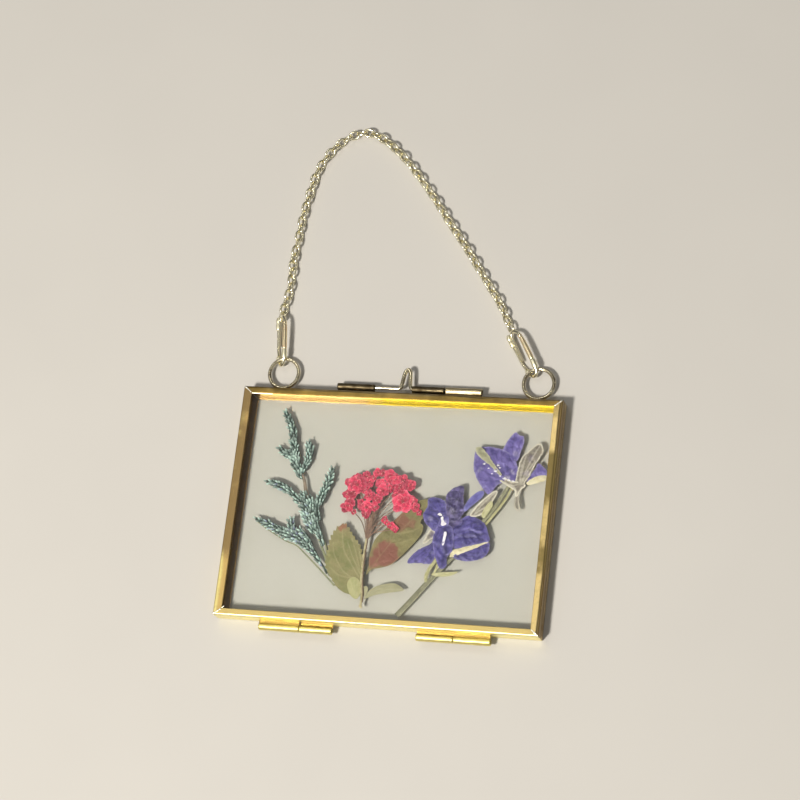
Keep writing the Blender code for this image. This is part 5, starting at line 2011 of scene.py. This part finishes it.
@dataclass
class TealSeedSprig:
    """A dark teal sprig whose spikes are packed with slanted seeds, each with a painted highlight on its top.
    """

    finishes: Finishes
    grain_step: float = 0.94
    row_step: float = 0.74
    seed_length: float = 0.72
    seed_width: float = 0.31
    seed_height: float = 0.18
    seed_lean: float = 0.16
    dome: float = 0.24
    slant: float = 40.0
    seed: int = 33

    def grain(
        self, draft: Draft, middle: Vector, along: Vector, size: float, tone: float, violet: float
    ) -> None:
        """Adds one seed whose ridge and tip take a painted highlight.

        Args:
            draft: The piece that it is part of.
            middle: Its centre.
            along: The way that it points.
            size: Its size as a share of the usual one.
            tone: Its lightness, from 0 to 1.
            violet: 1 where it is a violet one, or 0.
        """
        wide = Vector((-along.y, along.x, 0)).normalized()
        tall = along.cross(wide).normalized()
        half = (along * self.seed_length, wide * self.seed_width, tall * self.seed_height)
        axes = Matrix([side * size for side in half]).transposed()
        vertices, faces = pebble(middle, axes, 8, 6)
        traits = []
        for vertex in vertices:
            away = Vector(vertex) - middle
            high = (away.z + self.seed_height * 0.4) / (self.seed_height * 1.4 * size)
            tip = away.dot(along) / (self.seed_length * size)
            # Painted highlight: the seed's top takes the light rim colour, more so towards its tip.
            top_highlight = max(0.0, min(1.0, high)) * (0.35 + 0.65 * max(0.0, min(1.0, 0.5 + tip)))
            traits.append({Trait.RIM: top_highlight, Trait.TONE: tone, Trait.PATCH: violet})
        draft.add(vertices, faces, 0, traits)

    def seeds(self, draft: Draft, spike: Spike, drawn: random.Random) -> None:
        """Packs one spike with seeds over a flat dark sheet, painted shade for the gaps between them.

        Args:
            draft: The piece that they are part of.
            spike: The spike.
            drawn: Source of their unevenness.
        """
        routed = smooth([(x, y, width) for (x, y), width in zip(spike.route, spike.widths)], 8)
        # Painted shade: a flat dark sheet as wide as the spike, seen in the gaps between the seeds.
        under = [(x, y, spike.height - 0.06) for x, y, _ in routed]
        draft.add(*swept(under, [width * 0.42 for _, _, width in routed], 10, 0.09), 1, {Trait.TONE: 0.2})
        line = spaced([(x, y, 0.0, width) for x, y, width in routed], self.grain_step)
        for i, (x, y, _, width) in enumerate(line):
            before, after = line[max(i - 1, 0)], line[min(i + 1, len(line) - 1)]
            ahead = Vector((before[0] - after[0], before[1] - after[1], 0)).normalized()
            side = Vector((-ahead.y, ahead.x, 0))
            count = max(1, round(width / self.row_step))
            for k in range(count):
                across = (k + 0.5) / count * 2 - 1 if count > 1 else 0.0
                across += drawn.uniform(-0.35, 0.35) / count
                if i % 2:
                    across += 0.5 / count
                dome = 1 - min(1.0, across * across)
                middle = Vector((x, y, 0)) + side * across * width / 2 + ahead * drawn.uniform(-0.25, 0.25)
                middle.z = spike.height + self.dome * dome + drawn.uniform(-0.04, 0.06)
                slant = math.radians(4 + self.slant * across + drawn.uniform(-18, 18))
                along = (ahead * math.cos(slant) + side * math.sin(slant)).normalized()
                along.z = self.seed_lean
                violet = float(drawn.random() < spike.violet)
                size = drawn.uniform(0.64, 1.18)
                self.grain(draft, middle, along.normalized(), size, drawn.random(), violet)

    def build(self) -> None:
        """Builds the sprig, one piece for each of its branches."""
        drawn = random.Random(self.seed)
        kinds = (Bloom.SPRIG_SEED, Bloom.SPRIG_TWIG, Bloom.SPRIG_STEM, Bloom.BEIGE_STEM)
        for node, spikes in SPIKES.items():
            draft = Draft()
            for route, radius, kind in TWIGS[node]:
                low = spikes[0].height - 0.14
                line = smooth([(x, y, low) for x, y in route], 6)
                radii = [radius * (0.55 + 0.45 * i / len(line)) for i in range(len(line))]
                draft.add(*swept(line, radii, 8, 0.42), 1 + kind, {Trait.TONE: 0.5})
            for spike in spikes:
                self.seeds(draft, spike, drawn)
            name = node.replace("sprig", "seed_sprig")
            self.finishes.make(draft, name, kinds, Body.BACK, "silver_green", node, sharp=80.0)


# Petals from the lowest to the uppermost, and the painted highlights that lie on them.
LOWER_PETALS = (
    Blade(((12.3, -4.6), (11.2, -6.0), (10.4, -8.8), (12.3, -7.6), (13.6, -6.0)), 2.5, steps=5, slot=4,
        crown=0.05, tone=0.6, seed=40.0, patches=((12.8, -6.2, 0.8, 0.8),)),
    Blade(((13.1, -5.8), (12.7, -8.5), (9.0, -10.7), (6.6, -14.2), (9.8, -14.1), (13.0, -14.2),
        (13.9, -12.4), (14.6, -8.4), (14.4, -6.0)), 2.55, fan((14.0, -7.0), ((6.9, -14.0), (9.0, -14.0),
        (11.2, -14.0), (8.6, -11.4), (12.9, -13.8)), 0.05), ripple=0.12, tone=0.45, seed=41.0),
    Blade(((10.4, 3.6), (12.8, 4.1), (15.1, 3.1), (15.9, 0.7), (16.2, -1.6), (15.8, -3.6), (13.6, -5.2),
        (11.8, -4.3), (10.0, -2.4), (9.5, -0.4), (10.5, 1.6)), 2.66, fan((15.6, -3.2), ((10.6, 3.3),
        (12.8, 3.8), (14.8, 2.8), (9.8, -0.4), (10.8, -2.8), (11.0, 1.4)), -0.06), crown=0.16, ripple=0.14,
        seed=42.0, patches=((11.9, -1.9, 0.5, 0.5),)),
    Blade(((18.0, -3.4), (20.1, -1.4), (22.4, -0.3), (24.8, -1.1), (26.9, -2.6), (27.9, -4.8), (28.3, -7.2),
        (23.3, -8.7), (19.1, -9.6), (18.0, -7.0)), 2.68, fan((18.6, -6.2), ((22.4, -0.8), (24.8, -1.5),
        (26.7, -3.2), (27.8, -5.4), (27.6, -7.0), (20.4, -2.0)), 0.05), crown=0.18, ripple=0.16,
        ripple_size=2.6, seed=43.0, creases=((((19.4, -4.2), (22.6, -3.6), (25.6, -4.6)), 0.14, 0.5),
        (((20.4, -6.6), (23.6, -6.2), (26.8, -6.4)), -0.12, 0.4))),
    Blade(((18.9, -11.6), (23.4, -9.6), (28.2, -7.4), (28.6, -9.6), (27.6, -11.4), (25.6, -12.4),
        (23.0, -12.9), (20.2, -12.5)), 2.66, fan((19.4, -11.8), ((28.2, -8.6), (28.2, -10.4), (26.6, -11.8),
        (24.2, -12.6)), 0.04), crown=0.14, ripple=0.1, tone=0.4, seed=44.0),
    Blade(((18.3, -12.2), (18.7, -10.4), (20.6, -9.5), (23.3, -8.7), (28.3, -7.2), (25.0, -9.2),
        (21.2, -10.9)), 2.84, fan((18.6, -11.6), ((28.0, -7.4), (24.0, -9.2)), 0.02), 0.1, slot=2,
        crown=0.06, ripple=0.03, ridge=0.02, tone=0.6, seed=45.0, rim_width=0.2),
    Blade(((15.6, 1.8), (15.3, 4.7), (16.8, 6.7), (19.1, 7.7), (20.0, 7.2), (20.2, 4.1), (20.8, 1.0),
        (20.2, -0.8), (18.8, -2.2), (16.6, -1.6)), 2.8, fan((18.0, -1.6), ((16.0, 5.2), (17.4, 6.8),
        (19.2, 7.3), (19.8, 5.0), (20.2, 2.0)), 0.05), slot=1, crown=0.16, ripple=0.2, ripple_size=1.6,
        tone=0.35, seed=46.0, creases=((((17.6, 1.4), (17.6, -0.4)), 0.3, 0.7), (((16.4, 3.2), (18.4, 3.6),
        (19.8, 3.0)), 0.12, 0.3)), patches=((17.6, 0.5, 0.75, 0.9), (18.5, 3.6, 0.5, 0.4))),
    Blade(((13.7, -4.0), (15.8, -3.2), (18.0, -3.9), (18.8, -7.0), (18.8, -10.1), (17.5, -12.2),
        (17.6, -14.6), (16.4, -15.5), (15.5, -14.8), (14.3, -12.4), (13.1, -8.5)), 2.96, fan((16.0, -4.2),
        ((14.2, -11.8), (16.3, -15.2), (17.2, -12.6), (18.4, -9.0), (13.6, -8.0)), 0.04), crown=0.2,
        ripple=0.14, tone=0.45, seed=47.0, creases=((((16.3, -5.2), (16.2, -7.4), (15.8, -9.4)), 0.2, 0.45),
        (((17.4, -9.0), (16.4, -12.0)), -0.14, 0.4))),
    Blade(((15.4, -0.6), (17.2, 0.6), (19.6, -0.4), (20.6, -2.2), (19.4, -4.6), (16.6, -4.4)), 2.72, slot=1,
        crown=0.1, ripple=0.1, tone=0.3, seed=39.0),
    Blade(((14.0, -3.6), (15.2, -0.8), (16.6, -1.0), (17.0, -2.6), (16.2, -4.0)), 3.0, crown=0.14,
        crown_reach=0.6, ripple=0.12, ripple_size=0.9, tone=0.6, seed=48.0,
        patches=((15.6, -2.6, 0.5, 1.0),)),
)
GLINTS = (
    ((14.6, -1.6), (15.2, -1.1), (15.6, -2.4), (16.4, -3.1), (15.6, -3.7), (14.9, -3.5), (14.9, -2.4)),
    ((16.1, -5.4), (16.8, -5.6), (16.6, -7.4), (16.3, -9.0), (15.8, -8.8), (15.9, -7.2)),
    ((13.6, -0.6), (14.3, -0.2), (15.0, -0.9), (14.2, -1.0)),
)

UPPER_PETALS = (
    Blade(((29.5, 17.6), (29.6, 19.0), (30.9, 21.8), (32.4, 23.5), (33.6, 22.6), (34.6, 22.4), (35.0, 20.6),
        (34.5, 18.6), (33.7, 15.6), (31.6, 15.0)), 2.52, fan((32.4, 14.8), ((30.2, 19.6), (32.2, 22.8),
        (34.4, 21.6), (34.2, 18.6)), 0.04), crown=0.16, ripple=0.14, tone=0.75, seed=50.0,
        patches=((33.4, 17.6, 0.8, 0.4),)),
    Blade(((36.9, 9.8), (37.6, 11.6), (38.8, 13.6), (39.5, 15.1), (41.8, 13.4), (42.2, 12.0), (41.4, 11.6),
        (39.0, 11.4), (38.0, 10.4)), 2.55, fan((37.4, 10.4), ((39.6, 14.6), (41.4, 12.8)), 0.04), crown=0.1,
        tone=0.7, seed=51.0),
    Blade(((36.8, 9.6), (38.8, 11.2), (41.6, 11.9), (42.2, 10.7), (39.6, 9.6), (37.6, 9.0)), 2.58,
        fan((37.2, 9.5), ((42.0, 11.5), (42.0, 10.9), (40.4, 10.0)), 0.02), 0.12, slot=2, crown=0.1,
        tone=0.6, seed=52.0),
    Blade(((22.3, 18.4), (25.7, 19.0), (29.3, 18.4), (32.2, 16.9), (33.9, 14.0), (34.4, 10.9), (33.4, 8.9),
        (30.7, 9.2), (28.9, 8.4), (26.9, 5.8), (24.5, 8.0), (22.2, 11.8), (21.8, 15.4)), 2.64,
        fan((31.4, 9.8), ((22.4, 13.4), (23.8, 9.6), (26.6, 6.6), (26.0, 18.4), (29.0, 18.0), (31.6, 16.6),
        (33.6, 13.4)), 0.05), crown=0.2, ripple=0.18, ripple_size=2.8, tone=0.55, seed=53.0,
        creases=((((23.0, 17.6), (26.1, 15.0), (30.4, 10.6)), 0.2, 0.5), (((27.4, 16.6), (30.2, 14.4),
        (31.6, 11.4)), 0.12, 0.6)), patches=((25.0, 14.1, 0.25, 0.8), (28.6, 13.7, 0.3, 0.8),
        (28.2, 12.1, 0.35, 0.8), (31.4, 10.4, 0.8, 0.8), (32.6, 12.2, 0.5, 0.5), (23.6, 12.4, 0.5, 0.4))),
    Blade(((22.1, 18.3), (23.5, 18.6), (25.4, 16.9), (27.5, 14.2), (30.0, 11.4), (29.2, 11.2), (26.9, 13.3),
        (24.6, 14.9), (23.4, 15.9), (22.4, 16.9)), 3.2, slot=5, crown=0.05, ripple=0.03, thickness=0.04,
        tone=0.8, seed=54.0, rim_width=0.3),
    Blade(((33.9, 8.9), (34.2, 13.6), (35.0, 16.7), (36.8, 18.5), (38.9, 20.5), (40.2, 19.9), (40.5, 18.0),
        (38.8, 14.7), (37.5, 11.4), (36.2, 9.0), (35.3, 7.4)), 2.84, fan((35.2, 8.6), ((39.4, 19.8),
        (36.0, 17.0), (38.6, 15.6), (35.2, 14.4), (37.2, 12.0)), 0.03), slot=4, ripple=0.12,
        ripple_size=1.4, tone=0.6, seed=55.0, rim_width=0.3, patches=((36.4, 12.0, 0.9, 0.5),
        (37.6, 16.4, 0.8, 0.45))),
    Blade(((29.6, 9.6), (31.2, 10.2), (33.0, 9.6), (35.6, 9.6), (36.8, 8.6), (35.4, 7.2), (34.9, 5.6),
        (34.2, 5.6), (34.0, 7.0), (32.8, 7.8), (31.4, 8.6)), 2.95, fan((33.4, 8.4), ((30.0, 9.6),
        (36.0, 9.0), (34.6, 6.0)), 0.05), slot=4, crown_reach=0.7, ripple=0.16, ripple_size=1.0, tone=0.8,
        seed=56.0),
)
FLECKS = (
    (24.9, 14.0, 0.34), (26.2, 12.9, 0.26), (28.6, 13.8, 0.34), (29.2, 13.1, 0.3), (28.2, 12.1, 0.42),
    (29.6, 10.9, 0.3), (30.9, 10.3, 0.5), (32.0, 9.9, 0.42), (33.2, 9.6, 0.4), (27.3, 11.4, 0.22),
)
TENDRIL = (
    (34.3, 6.0, 2.8), (34.1, 4.0, 2.72), (34.4, 2.4, 2.7), (35.3, 1.7, 2.7), (35.8, 2.0, 2.7),
    (35.5, 3.4, 2.7), (35.1, 5.0, 2.74), (35.0, 6.2, 2.8),
)
TENDRIL_FILM = Blade(((34.4, 6.0), (34.2, 4.0), (34.5, 2.5), (35.3, 1.9), (35.6, 2.3), (35.3, 4.0),
    (35.0, 6.0)), 2.68, slot=4, crown=0.03, tone=0.4, seed=57.0, rim_width=0.12)

INNER_PETAL = Blade(((20.6, 1.6), (21.8, 4.2), (24.0, 6.3), (25.6, 6.4), (25.3, 4.8), (23.2, 2.7),
    (21.1, 0.6)), 3.06, fan((20.9, 1.2), ((25.0, 5.9), (23.6, 5.4), (24.2, 4.2)), 0.03), steps=5, seed=60.0)
SPUR = (
    Blade(((22.4, -0.3), (23.7, 2.0), (25.8, 4.5), (28.4, 6.8), (29.3, 6.3), (28.2, 3.8), (27.2, 1.4),
        (25.6, 0.1), (24.0, -0.6)), 2.84, fan((23.6, 0.0), ((28.6, 6.3), (27.2, 4.6), (27.4, 2.6)), 0.04),
        steps=5, crown=0.14, ripple=0.14, ripple_size=1.2, seed=61.0, tone=0.7),
    Blade(((25.6, 0.1), (26.8, 2.9), (28.0, 3.9), (28.4, 2.6), (27.4, 0.6), (26.4, -0.9)), 2.98,
        fan((26.2, -0.5), ((28.0, 3.6), (27.6, 2.0)), 0.03), steps=5, slot=1, crown=0.1, seed=62.0),
)
# The stem's strands: points in space, radii, material slot and tone.
STRANDS = (
    (((5.4, -28.8, 2.28), (9.0, -24.3, 2.28), (12.4, -19.8, 2.3), (15.5, -16.0, 2.32), (18.8, -12.0, 2.32),
        (21.6, -8.2, 2.3)), (0.78, 0.76, 0.72, 0.62, 0.5, 0.45), 0, 0.3),
    (((12.4, -19.2, 2.4), (12.3, -17.4, 2.46), (13.1, -15.2, 2.46), (14.6, -12.6, 2.46),
        (15.8, -9.0, 2.44)), (0.4, 0.5, 0.5, 0.5, 0.4), 1, 0.4),
    (((14.0, -17.2, 2.5), (14.7, -15.7, 2.5), (15.2, -13.2, 2.5)), (0.26, 0.3, 0.3), 1, 0.6),
    (((24.6, -4.0, 2.3), (26.4, -1.2, 2.32), (29.0, 2.6, 2.34), (30.8, 6.2, 2.36), (32.2, 8.8, 2.4)),
        (0.4, 0.5, 0.52, 0.46, 0.4), 0, 0.5),
    (((25.6, -4.4, 2.3), (27.6, -1.4, 2.32), (29.9, 2.0, 2.34), (31.8, 5.2, 2.36), (33.0, 8.4, 2.4)),
        (0.3, 0.36, 0.36, 0.34, 0.3), 1, 0.4),
)
BRACT = Blade(((13.7, -16.9), (16.0, -16.3), (19.1, -16.0), (20.9, -15.8), (19.3, -16.9), (16.9, -17.4),
    (14.6, -17.4)), 2.56, fan((14.2, -17.0), ((20.4, -16.0), (18.0, -17.0)), 0.02), 0.1, slot=1, seed=70.0)


@dataclass
class BlueFlowers:
    """Two blue-violet flowers on one pale stem."""

    finishes: Finishes
    crumple: float = 0.12
    crumple_size: float = 2.1
    ragged: float = 0.16
    fleck_height: float = 3.22
    glint_height: float = 3.3
    glint_rise: float = 0.1
    tendril_radius: float = 0.13
    strand_sides: int = 12
    strand_ridge: tuple[int, ...] = (0, 1, 11)

    def petals(self, draft: Draft, blades: Sequence[Blade]) -> None:
        """Adds petals, crumpled and with ragged edges.

        Args:
            draft: The piece that they are part of.
            blades: The petals while still smooth.
        """
        worn = {"crumple": self.crumple, "crumple_size": self.crumple_size, "ragged": self.ragged}
        for blade in blades:
            replace(blade, **worn).add_to(draft)

    def lower(self) -> None:
        """Builds the lower flower's overlapping petals and the painted highlights on them."""
        draft = Draft()
        self.petals(draft, LOWER_PETALS)
        # Painted highlights: near-white glints laid over the petals.
        for i, outline in enumerate(GLINTS):
            level = self.glint_height + self.glint_rise * (i == 1)
            Blade(
                outline, level, steps=3, slot=3, thickness=0.04, crown=0.04, spacing=0.2, ripple=0.03,
                ragged=0.08, tone=0.9, seed=49.0 + i,
            ).add_to(draft)
        kinds = (Bloom.VIOLET, Bloom.GREY_VIOLET, Bloom.CREAM_PETAL, Bloom.WHITE_FLECK_AND_GLINT, Bloom.LACY_PETAL)
        self.finishes.make(draft, "blue_flower_lower", kinds, Body.BACK, "violet_petal", "larkspur_lower")

    def upper(self) -> None:
        """Builds the upper flower's petals, papery hub, flecks and tendril."""
        draft = Draft()
        self.petals(draft, UPPER_PETALS)
        for i, (x, y, size) in enumerate(FLECKS):
            around = []
            for k in range(6):
                turn = math.radians(60 * k + 25 * i)
                across = x + size * math.cos(turn) * (0.5 + k % 2)
                around.append((across, y + size * math.sin(turn) * 0.7))
            Blade(
                around, self.fleck_height, steps=1, slot=1, thickness=0.03, crown=0.02, spacing=0.2, tone=0.7,
                seed=80.0 + i,
            ).add_to(draft)
        tendril = smooth(TENDRIL, 5)
        bar = swept(tendril, [self.tendril_radius] * len(tendril), 7, 0.7)
        draft.add(*bar, 4, {Trait.TONE: 0.4, Trait.RIM: 0.6})
        TENDRIL_FILM.add_to(draft)
        kinds = (Bloom.LAVENDER, Bloom.WHITE_FLECK_AND_GLINT, Bloom.CREAM_PETAL)
        kinds += (Bloom.BRACT, Bloom.LACY_PETAL, Bloom.PALE_STEM)
        self.finishes.make(draft, "blue_flower_upper", kinds, Body.BACK, "violet_petal", "larkspur_upper")

    def between(self) -> None:
        """Builds the two small petals between the flowers."""
        for name, node, blades, kinds in (
            ("small_blue_petal", "larkspur_inner_petal", (INNER_PETAL,), (Bloom.PERIWINKLE,)),
            ("flower_spur", "larkspur_spur", SPUR, (Bloom.LACY_PETAL, Bloom.BRACT)),
        ):
            draft = Draft()
            for blade in blades:
                blade.add_to(draft)
            self.finishes.make(draft, name, kinds, Body.BACK, "violet_petal", node)

    def stem(self) -> None:
        """Builds the stem, its side strands and the bract."""
        draft = Draft()
        for line, radii, kind, tone in STRANDS:
            merged = smooth([(*point, radius) for point, radius in zip(line, radii)], 6)
            points, widths = [point[:3] for point in merged], [point[3] for point in merged]
            vertices, faces = swept(points, widths, self.strand_sides, 0.3)
            traits = []
            for i in range(len(vertices)):
                ridge = float(i % self.strand_sides in self.strand_ridge)
                traits.append({Trait.TONE: tone, Trait.RIM: ridge})
            draft.add(vertices, faces, kind, traits)
        BRACT.add_to(draft)
        kinds = (Bloom.PALE_STEM, Bloom.BRACT)
        self.finishes.make(draft, "blue_flower_stem", kinds, Body.BACK, "dried_stem", "larkspur_stem")

    def build(self) -> None:
        """Builds both flowers and their stem."""
        self.lower()
        self.upper()
        self.between()
        self.stem()


# The studio.


@dataclass(frozen=True)
class Lamp:
    """A square soft light: the way its light travels, its distance and side in metres, its watts and tint."""

    name: str
    direction: tuple[float, float, float]
    distance: float
    size: float
    power: float
    tint: Colour

    def build(self) -> None:
        """Adds the light, so that it shines on the frame."""
        light = bpy.data.lights.new(self.name, "AREA")
        light.energy, light.size, light.color = self.power, self.size, self.tint
        lamp = bpy.data.objects.new(self.name, light)
        direction = Vector(self.direction)
        lamp.location = -direction.normalized() * self.distance
        lamp.rotation_euler = direction.to_track_quat("-Z", "Y").to_euler()
        bpy.context.scene.collection.objects.link(lamp)


@dataclass
class Studio:
    """The pale floor, the soft light and the camera at the photograph's angle."""

    floor_half: float = 1.6
    floor_paint: tuple[Colour, Colour] = ((0.62, 0.6, 0.565), (0.66, 0.64, 0.6))
    floor_roughness: float = 0.75
    camera_at: tuple[float, float, float] = (181.17, -157.75, 642.32)
    camera_turn: tuple[float, float, float] = (17.6458, 13.8640, 6.9685)
    lens: float = 113.83
    lamps: tuple[Lamp, ...] = (
        Lamp("key_light", (0.24, 0.41, -0.88), 1.1, 0.13, 11.0, (1.0, 0.95, 0.87)),
        Lamp("fill_light", (-0.8, 0.3, -0.55), 1.4, 0.9, 0.6, (0.92, 0.96, 1.0)),
        Lamp("top_light", (0.29, -0.47, -1.03), 1.165, 0.14, 0.9, (1.0, 0.97, 0.9)),
    )
    sky: tuple[Colour, Colour] = ((0.24, 0.23, 0.22), (0.98, 0.96, 0.92))
    sky_strength: float = 0.34

    def build_floor(self) -> None:
        """Builds the floor that the frame lies on."""
        mesh = bpy.data.meshes.new("studio_floor")
        half = self.floor_half
        corners = [(-half, -half, 0.0), (half, -half, 0.0), (half, half, 0.0), (-half, half, 0.0)]
        mesh.from_pydata(corners, [], [(0, 1, 2, 3)])
        material, canvas, surface = shader("floor_paint")
        cloud = canvas.cloud(canvas.millimetres(), 0.02, 2.0)
        canvas.feed(surface.inputs["Base Color"], canvas.mixed(cloud, *self.floor_paint))
        surface.inputs["Roughness"].default_value = self.floor_roughness
        mesh.materials.append(material)
        floor = bpy.data.objects.new("studio_floor", mesh)
        bpy.context.scene.collection.objects.link(floor)

    def build_light(self) -> None:
        """Builds the soft lights and the pale surroundings, which darken towards +X and +Y."""
        for lamp in self.lamps:
            lamp.build()
        world = bpy.data.worlds.new("pale_surroundings")
        world.use_nodes = True
        canvas = Canvas(world.node_tree)
        direction = canvas.add("ShaderNodeTexCoord").outputs["Generated"]
        spread = canvas.add("ShaderNodeSeparateXYZ", {0: direction}).outputs
        rise = canvas.between(spread[2], 0.1, 0.98)
        sky = canvas.mixed(rise, *self.sky)
        across = canvas.between(spread[1], -0.8, 0.8, 1.25, 0.7)
        side = canvas.between(spread[0], -0.9, 0.9, 1.15, 0.8)
        shade = canvas.maths("MULTIPLY", across, side)
        sky = canvas.shaded(sky, shade)
        canvas.fill(canvas.tree.nodes["Background"], {"Color": sky, "Strength": self.sky_strength})
        bpy.context.scene.world = world

    def build_camera(self) -> None:
        """Builds the camera."""
        camera = bpy.data.cameras.new("photo_camera")
        camera.lens = self.lens
        camera.sensor_width = 36.0
        camera.clip_start, camera.clip_end = 0.05, 20.0
        holder = bpy.data.objects.new("photo_camera", camera)
        holder.location = place(*self.camera_at)
        holder.rotation_euler = tuple(math.radians(turn) for turn in self.camera_turn)
        bpy.context.scene.collection.objects.link(holder)
        bpy.context.scene.camera = holder

    def build(self) -> None:
        """Builds the camera, the floor and the light."""
        self.build_camera()
        self.build_floor()
        self.build_light()
        bpy.context.scene.view_settings.view_transform = "Standard"


def main() -> None:
    """Loads the CAD frame and builds everything that shows, in order."""
    logging.basicConfig(level=logging.INFO, format="%(name)s: %(message)s")
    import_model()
    finishes = Finishes()
    Studio().build()
    clasps: list[bpy.types.Object] = []
    for side, turn, top, roll in (("left", 108.0, (-38.0, 53.9), 48.0), ("right", 120.0, (27.9, 52.5), 40.0)):
        clasps += Clasp(finishes, side, turn, top, roll).build()
    Chain(finishes).build(clasps)
    builders: tuple[Callable[[Finishes], object], ...] = (
        BrassFrame, Barrels, GlassPanes, DriedLeaves, PinkFlowerHead, TealSeedSprig, BlueFlowers,
    )
    for builder in builders:
        builder(finishes).build()
        LOG.info("finished %s", builder.__name__)


if __name__ == "__main__":
    main()
